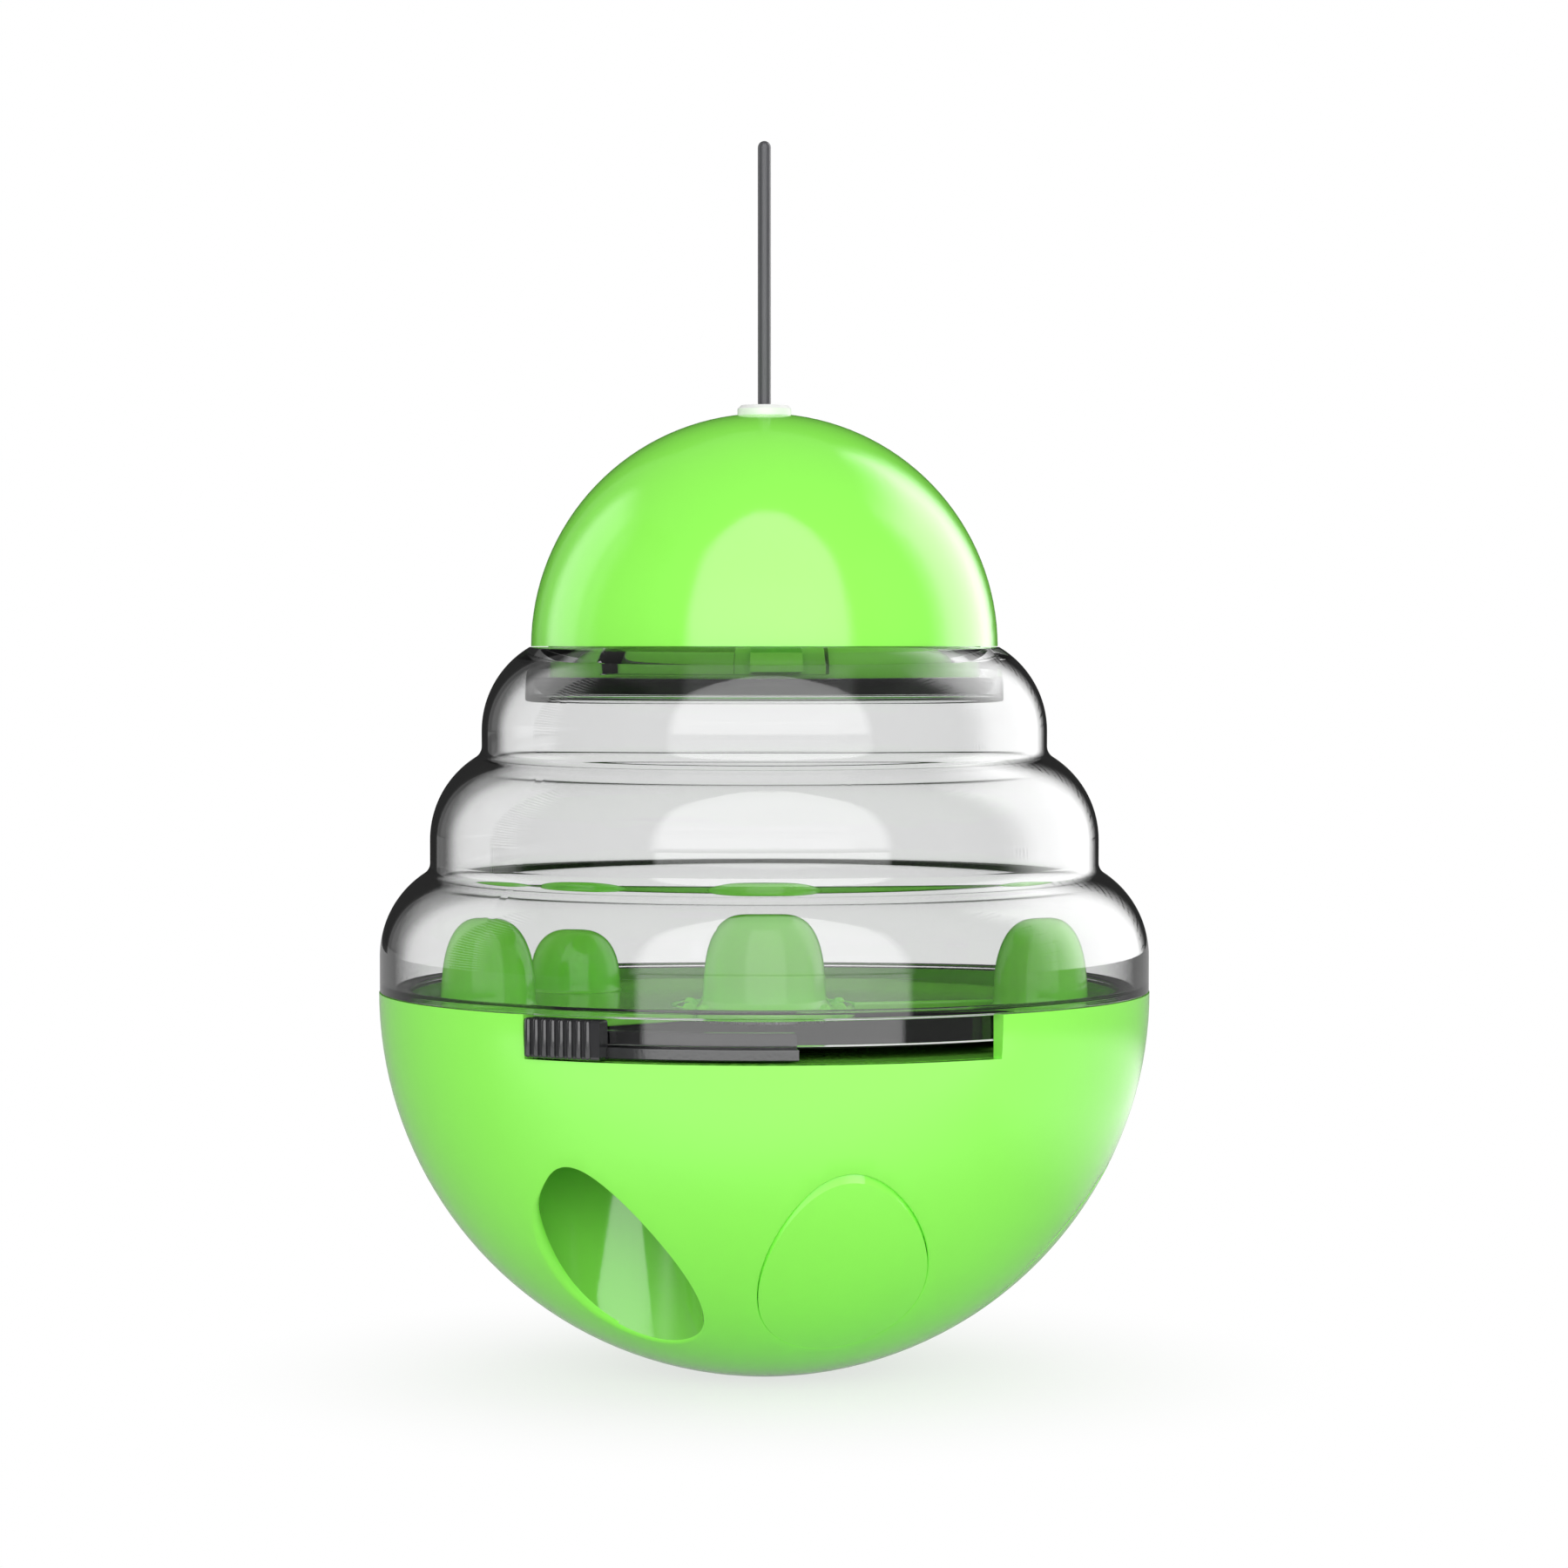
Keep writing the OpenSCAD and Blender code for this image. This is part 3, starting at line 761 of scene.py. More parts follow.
def ring_of(tree: NodeTree, pattern: NodeSocket) -> NodeSocket:
    """Adds nodes that repeat a pattern on a ring, by the tree's own ring inputs.

    Args:
        tree: a tree with the inputs of RING_INPUTS.
        pattern: the socket with the pattern, which faces azimuth 0.

    Returns:
        The socket with the instances.
    """
    entry = tree.nodes["In"].outputs
    calc = partial(math_node, tree)
    index = add_node(tree, "GeometryNodeInputIndex", {}).outputs[0]
    turn = calc("ADD", calc("MULTIPLY", index, entry["Azimuth Step"]), entry["First Azimuth"])
    x = calc("MULTIPLY", calc("SINE", turn), entry["Ring Radius"])
    y = calc("MULTIPLY", calc("MULTIPLY", calc("COSINE", turn), entry["Ring Radius"]), -1.0)
    where = add_node(tree, "ShaderNodeCombineXYZ", {"X": x, "Y": y, "Z": entry["Height"]})
    points = add_node(tree, "GeometryNodePoints", {"Count": entry["Count"], "Position": where.outputs[0]})
    facing = add_node(tree, "ShaderNodeCombineXYZ", {"Z": turn})
    places = {"Points": points.outputs[0], "Instance": pattern, "Rotation": facing.outputs[0]}
    return add_node(tree, "GeometryNodeInstanceOnPoints", places).outputs[0]


def plain(tree: NodeTree) -> NodeSocket:
    """Returns the socket with the pattern as it is."""
    return tree.nodes["In"].outputs["Pattern"]


def threaded(tree: NodeTree) -> NodeSocket:
    """Adds nodes that wind a thread on the pattern, which is a screw.

    Args:
        tree: a tree with the inputs of THREAD_INPUTS.

    Returns:
        The socket with the screw.
    """
    entry = tree.nodes["In"].outputs
    helix = add_node(tree, "GeometryNodeCurveSpiral", {
        "Resolution": 20,
        "Rotations": math_node(tree, "DIVIDE", entry["Thread Length"], entry["Pitch"]),
        "Start Radius": entry["Thread Radius"],
        "End Radius": entry["Thread Radius"],
        "Height": entry["Thread Length"],
    })
    rod = {"Resolution": 4, "Radius": entry["Thread Depth"]}
    section = add_node(tree, "GeometryNodeCurvePrimitiveCircle", rod)
    wound = {"Curve": helix.outputs[0], "Profile Curve": section.outputs[0], "Fill Caps": True}
    thread = add_node(tree, "GeometryNodeCurveToMesh", wound)
    drop = add_node(tree, "ShaderNodeCombineXYZ", {"Z": entry["Tip"]})
    placed = {"Geometry": thread.outputs[0], "Translation": drop.outputs[0]}
    whole = add_node(tree, "GeometryNodeJoinGeometry", {})
    tree.links.new(add_node(tree, "GeometryNodeTransform", placed).outputs[0], whole.inputs[0])
    tree.links.new(entry["Pattern"], whole.inputs[0])
    tilt = add_node(tree, "ShaderNodeCombineXYZ", {"X": entry["Tilt"]})
    turned = {"Geometry": whole.outputs[0], "Rotation": tilt.outputs[0]}
    return add_node(tree, "GeometryNodeTransform", turned).outputs[0]


def ring_tree(name: str, shape: Callable[[NodeTree], NodeSocket], sizes: Sockets) -> NodeTree:
    """Makes the tree that repeats a pattern evenly along a ring, once.

    Args:
        name: the tree's name.
        shape: adds the nodes that work on the pattern before it is repeated.
        sizes: the inputs that these nodes need.

    Returns:
        The tree.
    """
    known = bpy.data.node_groups.get(name)
    if known:
        return known
    inputs = {"Pattern": ("Geometry", None), **RING_INPUTS, **sizes, "Material": ("Material", None)}
    tree = new_tree(name, "Geometry", inputs, {"Made": "Geometry"})
    real = add_node(tree, "GeometryNodeRealizeInstances", {0: ring_of(tree, shape(tree))})
    worn = {"Geometry": real.outputs[0], "Material": tree.nodes["In"].outputs["Material"]}
    dressed = add_node(tree, "GeometryNodeSetMaterial", worn)
    feed(tree, tree.nodes["Out"], {"Made": dressed.outputs[0]})
    return tree


def grow(piece: Object, tree: NodeTree, values: dict[str, object]) -> Object:
    """Runs a Geometry Nodes tree on a pattern and keeps the result as a plain mesh.

    Args:
        piece: the object that holds the pattern.
        tree: the tree.
        values: input name to value.

    Returns:
        The same object with what the tree made.
    """
    modifier = piece.modifiers.new(tree.name, "NODES")
    modifier.node_group = tree
    for item in tree.interface.items_tree:
        if item.item_type == "SOCKET" and item.in_out == "INPUT" and item.name in values:
            modifier[item.identifier] = values[item.name]
    return applied(piece)


def ring_values(ring: float, azimuths: tuple[float, ...], height: float) -> dict[str, object]:
    """Values for a ring's inputs, from sizes in millimetres and degrees.

    Args:
        ring: the ring's radius.
        azimuths: evenly spaced azimuths.
        height: height of the pattern's own zero.

    Returns:
        The values by input name.
    """
    step = azimuths[1] - azimuths[0] if len(azimuths) > 1 else 0.0
    return {
        "Count": len(azimuths),
        "Ring Radius": ring * MM,
        "First Azimuth": math.radians(azimuths[0]),
        "Azimuth Step": math.radians(step),
        "Height": height * MM,
    }


def finish_piece(piece: Object, body: Body, slot: Slot, finish: Finish, *nodes: str) -> None:
    """Gives a piece its material and body, and hides the CAD nodes that it stands for.

    Args:
        piece: the piece.
        body: the body that it rides on.
        slot: the record's slot of its finish; not used.
        finish: its finish.
        nodes: the CAD nodes that it replaces.
    """
    piece.data.materials.clear()
    piece.data.materials.append(finish.material())
    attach(piece, body.value)
    if nodes:
        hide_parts(*nodes)
    LOG.info("piece %s on %s: %d faces", piece.name, body.value, len(piece.data.polygons))


# Sub-assemblies


@dataclass
class Hopper:
    """The clear hopper: three rounded steps over a skirt, with a bayonet neck.

    Attributes:
        rim_z: height of the bowl's rim.
        step_r: outside radius of the steps, from the top down.
        step_z: height of the steps' shoulders, from the top down.
        shoulder_r: radius of a shoulder.
        hollow_r: radius of the hollow between two steps.
        wall: thickness of the wall.
        lip_r, neck_r: outer radius of the neck at its top, over the shoulder and inside the hopper.
        lug_turn, lug_spare, run_out: how far a lug turns, the groove past it and the groove's sloping end.
        lug_drop, gap: how far a lug is under the neck's top, and the clearance over and under it.
        notch, notch_extra: azimuths of a notch from its lug's, and how much deeper it is than a groove.
        bore_skin: points that are farther than this from the bore aren't part of it.
        seal_up: how far the seal's groove is over the neck's foot.
        seat: how far the hopper stands over the rim.
        tangent: how far under the bottom shoulder the straight wall has its first point.
        pair_deg: how far the two cuts at a groove's end stand off it.
    """

    rim_z: float = RIM_Z
    step_r: tuple[float, float, float] = (37.8, 44.7, 51.4)
    step_z: tuple[float, float, float] = (86.007, 71.507, 56.097)
    shoulder_r: float = 13.0
    hollow_r: float = 1.7
    wall: float = 2.0
    skirt_r: float = 49.2
    skirt_in_r: float = 47.4
    skirt_drop: float = 3.5
    lip_r: float = 31.4
    neck_bore_r: float = 29.1
    neck_r: float = 32.0
    neck_h: float = 7.0
    lug_az: float = 2.8
    lugs: int = 3
    lug_half: float = 6.2
    lug_turn: float = 28.0
    lug_spare: float = 1.5
    lug_groove_r: float = 30.7
    lug_drop: float = 1.55
    lug_h: float = 2.0
    notch: Point2 = (-9.8, 12.3)
    notch_extra: float = 0.1
    run_out: float = 12.0
    seal_groove_r: float = 30.95
    seal_up: float = 0.6
    seal_h: float = 2.1
    gap: float = 0.3
    bore_skin: float = 0.3
    seat: float = 0.05
    tangent: float = 0.1
    shoulder_steps: int = 22
    hollow_steps: int = 10
    segments: int = 240
    pair_deg: float = 0.06
    neck_top: float = field(init=False)

    def __post_init__(self) -> None:
        """Works out the neck's top from the top shoulder."""
        across = self.lip_r - self.step_r[0] + self.shoulder_r
        self.neck_top = self.step_z[0] + math.sqrt(self.shoulder_r**2 - across**2)

    def side(self, inset: float, top_r: float) -> list[Point2]:
        """Outline of the steps from the neck down.

        Args:
            inset: how far the line lies inside the outer face.
            top_r: the radius at which it starts.

        Returns:
            Radius and height of each point.
        """
        size = self.shoulder_r - inset
        across = top_r - self.step_r[0] + self.shoulder_r
        start = math.degrees(math.acos(across / size))
        made = arc((self.step_r[0] - self.shoulder_r, self.step_z[0]), size, start, 0.0, self.shoulder_steps)
        for upper, lower, z in zip(self.step_r, self.step_r[1:], self.step_z[1:]):
            x = upper + self.hollow_r - lower + self.shoulder_r
            rise = math.sqrt((self.shoulder_r + self.hollow_r) ** 2 - x**2)
            meet = math.degrees(math.atan2(rise, x))
            middle = (upper + self.hollow_r, z + rise)
            made += arc(middle, self.hollow_r + inset, 180.0, 180.0 + meet, self.hollow_steps)
            made += arc((lower - self.shoulder_r, z), size, meet, 0.0, self.shoulder_steps)[1:]
        return made

    def outline(self) -> list[Point2]:
        """Closed outline of the wall, counterclockwise from the neck's top."""
        low = self.rim_z - self.skirt_drop
        neck_bot = self.neck_top - self.neck_h
        seal_bot = neck_bot + self.seal_up
        seal_top = seal_bot + self.seal_h
        corners = [(self.neck_bore_r, self.neck_top, 0.25)]
        corners += [(r, z, 0.0) for r, z in self.side(0.0, self.lip_r)]
        corners += [
            (self.step_r[2], self.step_z[2] - self.tangent, 0.0),
            (self.step_r[2], self.rim_z + self.seat, 0.15),
            (self.skirt_r, self.rim_z + self.seat, 0.3),
            (self.skirt_r, low, 0.15),
            (self.skirt_in_r, low, 0.15),
            (self.skirt_in_r, self.rim_z + 0.75, 0.3),
            (self.step_r[2] - self.wall, self.rim_z + 0.85, 0.3),
            (self.step_r[2] - self.wall, self.step_z[2] - self.tangent, 0.0),
        ]
        corners += [(r, z, 0.0) for r, z in reversed(self.side(self.wall, self.neck_r))]
        corners += [
            (self.neck_r, neck_bot, 0.3),
            (self.neck_bore_r, neck_bot, 0.25),
            (self.neck_bore_r, seal_bot, 0.1),
            (self.seal_groove_r, seal_bot, 0.1),
            (self.seal_groove_r, seal_top, 0.1),
            (self.neck_bore_r, seal_top, 0.1),
        ]
        lug_top = self.neck_top - self.lug_drop
        lug_bot = lug_top - self.lug_h
        for height in (lug_bot - self.gap, lug_top + self.gap):
            corners += [(self.neck_bore_r, height + off, 0.0) for off in (-GUARD, GUARD)]
        return fillet(corners)[::-1]

    def cut_edges(self) -> list[tuple[float, float, float, bool]]:
        """Azimuths and depths of the neck's grooves.

        Returns:
            For each groove its first and last azimuth, how much deeper it is, and whether it is a notch.
        """
        made = []
        for i in range(self.lugs):
            az = self.lug_az + 360.0 * i / self.lugs
            start = az - self.lug_half - self.lug_turn - self.lug_spare - self.run_out
            made.append((start, az + self.notch[1], 0.0, False))
            made.append((az + self.notch[0], az + self.notch[1], self.notch_extra, True))
        return made

    def radius_at(self, azimuth: float, radius: float, height: float) -> float:
        """Radius of a point, moved out where the neck's bore has a groove.

        Args:
            azimuth: the point's azimuth.
            radius: its radius on the plain outline.
            height: its height.

        Returns:
            Its radius.
        """
        lug_top = self.neck_top - self.lug_drop
        if radius > self.neck_bore_r + self.bore_skin or height < lug_top - self.lug_h - self.gap:
            return radius
        deep = 0.0
        for first, last, extra, is_notch in self.cut_edges():
            along = (azimuth - first) % 360.0
            if not 0.0 <= along <= last - first:
                continue
            if is_notch or height < lug_top + self.gap:
                into = 1.0 if is_notch else eased(along / self.run_out)
                deep = max(deep, into * (self.lug_groove_r - self.neck_bore_r) + extra)
        return radius + deep

    def azimuths(self) -> list[float]:
        """The azimuths at which the wall is cut into segments, with a pair at each groove's end."""
        found = {round(360.0 * i / self.segments, 3) for i in range(self.segments)}
        for first, last, _, _ in self.cut_edges():
            for edge in (first, last):
                found |= {round((edge + off) % 360.0, 3) for off in (-self.pair_deg, self.pair_deg)}
        return sorted(found)

    def build(self) -> None:
        """Makes the hopper and puts it in the frame."""
        piece = lathe("hopper_shell", self.outline(), angles=self.azimuths(), radius_at=self.radius_at)
        finish_piece(piece, Body.HOPPER, Slot.CLEAR, CLEAR, "hopper")


@dataclass(frozen=True)
class ScrewSet:
    """Pan-head screws with a cross recess and a rolled thread.

    Attributes:
        name: the piece's name.
        node: the CAD node that it stands for.
        body: the body that it rides on.
        ring: radius of the ring that the screws stand on.
        azimuths: their azimuths.
        seat: height of the underside of their heads.
        length: length of their shanks.
        head_down: whether the heads are at the bottom.
        head_r, head_h, crown_r: a head's radius and height, and the radius at which its dome would end.
        shank_r, tip_r, tip_h: radius of the shank and of its end, and how long it tapers.
        thread_r, thread_depth, pitch: the thread's radius, its depth and its pitch.
        cross_r, cross_half, cross_depth: reach of the cross's arms, half of their width and their depth.
        cross_side, cross_end: width of the slope along the arms and at their ends.
        cross_reach: radius past which the head has no cross.
    """

    name: str
    node: str
    body: Body
    ring: float
    azimuths: tuple[float, ...]
    seat: float
    length: float = 12.0
    head_down: bool = False
    head_r: float = 2.5
    head_h: float = 1.6
    shank_r: float = 1.25
    thread_r: float = 1.27
    thread_depth: float = 0.17
    pitch: float = 1.1
    cross_r: float = 1.35
    cross_half: float = 0.42
    cross_depth: float = 0.95
    cross_side: float = 0.14
    cross_end: float = 0.3
    cross_reach: float = 1.5
    crown_r: float = 2.6
    tip_r: float = 0.5
    tip_h: float = 1.4

    def recess(self, azimuth: float, radius: float, height: float) -> float:
        """Height of a point of the head's top, lowered inside the cross.

        Args:
            azimuth: the point's azimuth.
            radius: its radius.
            height: its height without the cross.

        Returns:
            Its height.
        """
        if height < self.head_h * 0.6 or radius > self.cross_reach:
            return height
        x, y = spot(radius, azimuth)
        side = clamped((self.cross_half - min(abs(x), abs(y))) / self.cross_side)
        end = clamped((self.cross_r - max(abs(x), abs(y))) / self.cross_end)
        return height - self.cross_depth * min(side, end)

    def build(self) -> None:
        """Makes one screw as the pattern, grows the set and puts it in the frame."""
        rings = [2.5, 2.42, 2.25, 2.0, 1.75, 1.5, 1.3, 1.12, 0.95, 0.78, 0.6, 0.44, 0.3, 0.15]
        top = [(r, self.head_h * (0.5 + 0.5 * math.sqrt(1.0 - (r / self.crown_r) ** 2))) for r in rings]
        tip = -self.length
        outline = [(0.0, tip), (self.tip_r, tip), (self.shank_r, tip + self.tip_h), (self.shank_r, -0.25)]
        outline += [(self.shank_r + 0.25, 0.0), (self.head_r - 0.15, 0.0), (self.head_r, 0.15)] + top
        outline.append((0.0, self.head_h - self.cross_depth))
        screw = lathe(self.name, outline, segments=72, height_at=self.recess)
        values = ring_values(self.ring, self.azimuths, self.seat)
        values.update({
            "Thread Radius": self.thread_r * MM,
            "Thread Depth": self.thread_depth * MM,
            "Pitch": self.pitch * MM,
            "Thread Length": (self.length - 2.6) * MM,
            "Tip": (1.3 - self.length) * MM,
            "Tilt": math.pi if self.head_down else 0.0,
            "Material": STEEL.material(),
        })
        grow(screw, ring_tree("screw_ring", threaded, THREAD_INPUTS), values)
        finish_piece(screw, self.body, Slot.STEEL, STEEL, self.node)


@dataclass
class Fixings:
    """All the screws of the toy."""

    sets: tuple[ScrewSet, ...] = (
        ScrewSet("weight_fixings", "weight_screws", Body.BASE, 13.0, (0.0, 120.0, 240.0), 12.8, 8.0),
        ScrewSet("floor_fixings", "floor_screws", Body.BASE, FLOOR_SCREW_RING, FLOOR_SCREW_AZS, GATE_HIGH),
        ScrewSet("hub_fixing", "hub_screw", Body.BASE, 0.0, (0.0,), 45.757, 12.0, True),
        ScrewSet("collar_fixings", "collar_screws", Body.CAP, 22.5, (60.0, 180.0, 300.0), 98.5, 12.0, True),
    )

    def build(self) -> None:
        """Makes each set."""
        for screws in self.sets:
            screws.build()


@dataclass
class Deck:
    """The green deck: a plate with a band, a rim under it, and three round-topped posts.

    Attributes:
        low: height of the plate's underside.
        high: height of its top.
        rim_low: height of the underside of its rim.
        plate: inner and outer radius of the plate.
        band: inner and outer radius of the band that carries the right post.
        rim: inner and outer radius of the rim under the plate.
        posts: azimuth and top height of each post.
        lift: how much higher the posts end than in the CAD, since the clear wall shows them lower.
    """

    low: float = 47.757
    high: float = 49.357
    rim_low: float = 45.657
    plate: Point2 = (12.5, 47.1)
    band: Point2 = (34.05, 46.8)
    rim: Point2 = (40.6, 46.5)
    band_from: float = 74.0
    plate_from: float = 104.0
    plate_to: float = 311.0
    rim_from: float = 106.5
    rim_to: float = 309.0
    post_ring: float = 37.1
    post_r: float = 6.4
    post_flat_r: float = 0.8
    lift: float = 1.1
    posts: tuple[Point2, ...] = ((-90.0, 60.657), (90.0, 60.657), (-134.0, 58.357))
    post_foot: float = 0.45
    post_full: float = 2.35
    screw_hole_r: float = 2.65

    def post(self, index: int, azimuth: float, top: float) -> Object:
        """Makes a post: a dome with a full shoulder over a small fillet at its foot.

        Args:
            index: its number.
            azimuth: its azimuth.
            top: height of its top.

        Returns:
            The post.
        """
        foot_r = self.post_r + self.post_foot
        outline = [(0.0, self.high - 0.5), (foot_r, self.high - 0.5), (foot_r, self.high)]
        outline += arc((foot_r, self.high + self.post_foot), self.post_foot, 270.0, 185.0, 4)[1:]
        outline += dome(self.post_r, self.post_flat_r, self.high, top + self.lift, self.post_full)
        outline.append((0.0, top + self.lift))
        return lathe(f"post_{index}", outline, segments=72, centre=spot(self.post_ring, azimuth))

    def build(self) -> None:
        """Makes the deck and puts it in the frame."""
        outline = sweep(self.band[1], self.band_from, self.plate_from)
        outline += sweep(self.plate[1], self.plate_from, self.plate_to)
        outline += sweep(self.plate[0], self.plate_to, self.plate_from, 3.0)
        outline += sweep(self.band[0], self.plate_from, self.band_from)
        plate = slab("plate", outline, self.low, self.high, 0.3)
        under = band(self.rim[1], self.rim[0], self.rim_from, self.rim_to)
        rim = slab("rim", under, self.rim_low, self.low + 0.3, 0.2)
        parts = []
        for part in (plate, rim):
            holes = cylinder(self.screw_hole_r, GATE_HIGH, self.high + 1.0, sides=48)
            places = ring_values(FLOOR_SCREW_RING, FLOOR_SCREW_AZS, 0.0)
            grow(holes, ring_tree("even_ring", plain, {}), places)
            parts.append(bored(part, holes))
        parts += [self.post(i, azimuth, top) for i, (azimuth, top) in enumerate(self.posts)]
        finish_piece(joined("deck_moulding", parts), Body.BASE, Slot.GREEN, POST, "deck")


@dataclass
class Hub:
    """The hub post, with a flange whose four notches have curled edges.

    Attributes:
        low, top: height of the flange's underside and of the post's top.
        lift: how much higher the post ends than in the CAD, since the clear wall shows it lower.
        post_r, flat_r, fullness: the post's radius, that of the flat on its top, and how full it is.
        flange_r, flange_t: radius and thickness of the flange.
        notch_azs, notch_half, notch_side: azimuths of the notches, half of their width and their slope.
        notch_r, notch_full: radius to which a notch reaches in, and how much of the way it goes.
        curl, curl_off, curl_half: height of the curl, how far it stands off the notch and its width.
        curl_in, curl_low, curl_run: where the curl starts beside the post and over the underside, and
            over what length it rises.
    """

    low: float = 47.857
    top: float = 62.257
    lift: float = 1.2
    post_r: float = 8.3
    flat_r: float = 2.0
    flange_r: float = 12.2
    flange_t: float = 1.5
    notch_azs: tuple[float, ...] = (55.0, 125.0, 235.0, 305.0)
    notch_half: float = 7.0
    notch_r: float = 10.3
    notch_side: float = 1.2
    notch_full: float = 0.98
    curl: float = 0.55
    curl_off: float = 2.2
    curl_half: float = 2.4
    curl_in: float = 0.6
    curl_low: float = 0.7
    curl_run: float = 1.5
    fullness: float = 2.6

    def near(self, azimuth: float) -> float:
        """Angle from an azimuth to the middle of the nearest notch."""
        return min(abs((azimuth - az + 180.0) % 360.0 - 180.0) for az in self.notch_azs)

    def radius_at(self, azimuth: float, radius: float, height: float) -> float:
        """Radius of a point of the flange, drawn in at a notch.

        Args:
            azimuth: the point's azimuth.
            radius: its radius without notches.
            height: its height.

        Returns:
            Its radius.
        """
        if radius <= self.notch_r:
            return radius
        into = eased((self.notch_half + self.notch_side - self.near(azimuth)) / self.notch_side)
        return radius - into * (radius - self.notch_r) * self.notch_full

    def height_at(self, azimuth: float, radius: float, height: float) -> float:
        """Height of a point of the flange, which curls up beside a notch.

        Args:
            azimuth: the point's azimuth.
            radius: its radius without notches.
            height: its height without the curl.

        Returns:
            Its height.
        """
        out = radius - self.post_r - self.curl_in
        if out < 0.0 or height < self.low + self.curl_low:
            return height
        off = (self.near(azimuth) - self.notch_half - self.curl_off) / self.curl_half
        return height + self.curl * math.exp(-off * off) * min(1.0, out / self.curl_run)

    def build(self) -> None:
        """Makes the hub and puts it in the frame."""
        edge = self.low + self.flange_t
        corners = [
            (0.0, self.low, 0.0),
            (self.flange_r, self.low, 0.15),
            (self.flange_r, self.low + 0.85, 0.3),
            (self.flange_r - 0.5, edge, 0.35),
            (self.flange_r - 1.5, edge, 0.4),
            (self.flange_r - 1.9, edge - 0.45, 0.3),
            (self.post_r + 0.9, edge - 0.45, 0.3),
            (self.post_r + 0.05, edge + 0.6, 0.5),
        ]
        for r, z in dome(self.post_r, self.flat_r, self.low, self.top + self.lift, self.fullness, first=4):
            if z > edge + 1.0:
                corners.append((r, z, 0.0))
        corners.append((0.0, self.top + self.lift, 0.0))
        vary = {"radius_at": self.radius_at, "height_at": self.height_at}
        piece = lathe("hub_moulding", fillet(corners), segments=360, **vary)
        finish_piece(piece, Body.BASE, Slot.GREEN, POST, "hub_post")


@dataclass
class Slider:
    """The ribbed slider that turns the gate.

    Attributes:
        first, last: azimuths of its ends.
        low, high: height of its underside and of its top.
        face_r, grip_r: outer and inner radius of the block.
        inner_r, foot_r: inner radius of the root and of the foot.
        foot: azimuths of the foot's ends.
        root_lap, foot_lap: how far the root reaches into the block, and the foot into the root.
        rib_r, rib_n, rib_pitch, rib_first: the ribs' radius, number, pitch and first azimuth.
    """

    first: float = -35.3
    last: float = -23.2
    low: float = GATE_LOW
    high: float = 50.957
    face_r: float = 51.95
    grip_r: float = 49.5
    inner_r: float = 49.15
    foot_r: float = 46.5
    foot: Point2 = (-32.8, -25.7)
    root_lap: float = 0.4
    foot_lap: float = 0.2
    rib_r: float = 0.43
    rib_n: int = 8
    rib_pitch: float = 1.25
    rib_first: float = -34.6

    def build(self) -> None:
        """Makes the slider's block, foot and ribs and puts them in the frame."""
        block = band(self.face_r, self.grip_r, self.first, self.last)
        root = band(self.grip_r + self.root_lap, self.inner_r, self.first, self.last)
        foot = band(self.inner_r + self.foot_lap, self.foot_r, *self.foot)
        parts = [
            slab("block", block, self.low, self.high, 0.35),
            slab("root", root, self.low, GATE_HIGH, 0.05),
            slab("foot", foot, self.low, GATE_HIGH, 0.05),
        ]
        finish_piece(joined("slider_block", parts), Body.GATE, Slot.GATE, BLACK, "gate_slider")
        tall = self.high - self.low
        outline = arc((0.0, self.rib_r), self.rib_r, 270.0, 360.0, 4)
        outline += arc((0.0, tall - self.rib_r), self.rib_r, 0.0, 90.0, 4)
        outline = [(0.0 if r < TINY else r, z) for r, z in outline]
        rib = lathe("slider_ribs", outline, segments=12)
        step = math.degrees(self.rib_pitch / self.face_r)
        azimuths = tuple(self.rib_first + step * k for k in range(self.rib_n))
        values = ring_values(self.face_r, azimuths, self.low)
        grow(rib, ring_tree("even_ring", plain, {}), {**values, "Material": BLACK.material()})
        finish_piece(rib, Body.GATE, Slot.GATE, BLACK)


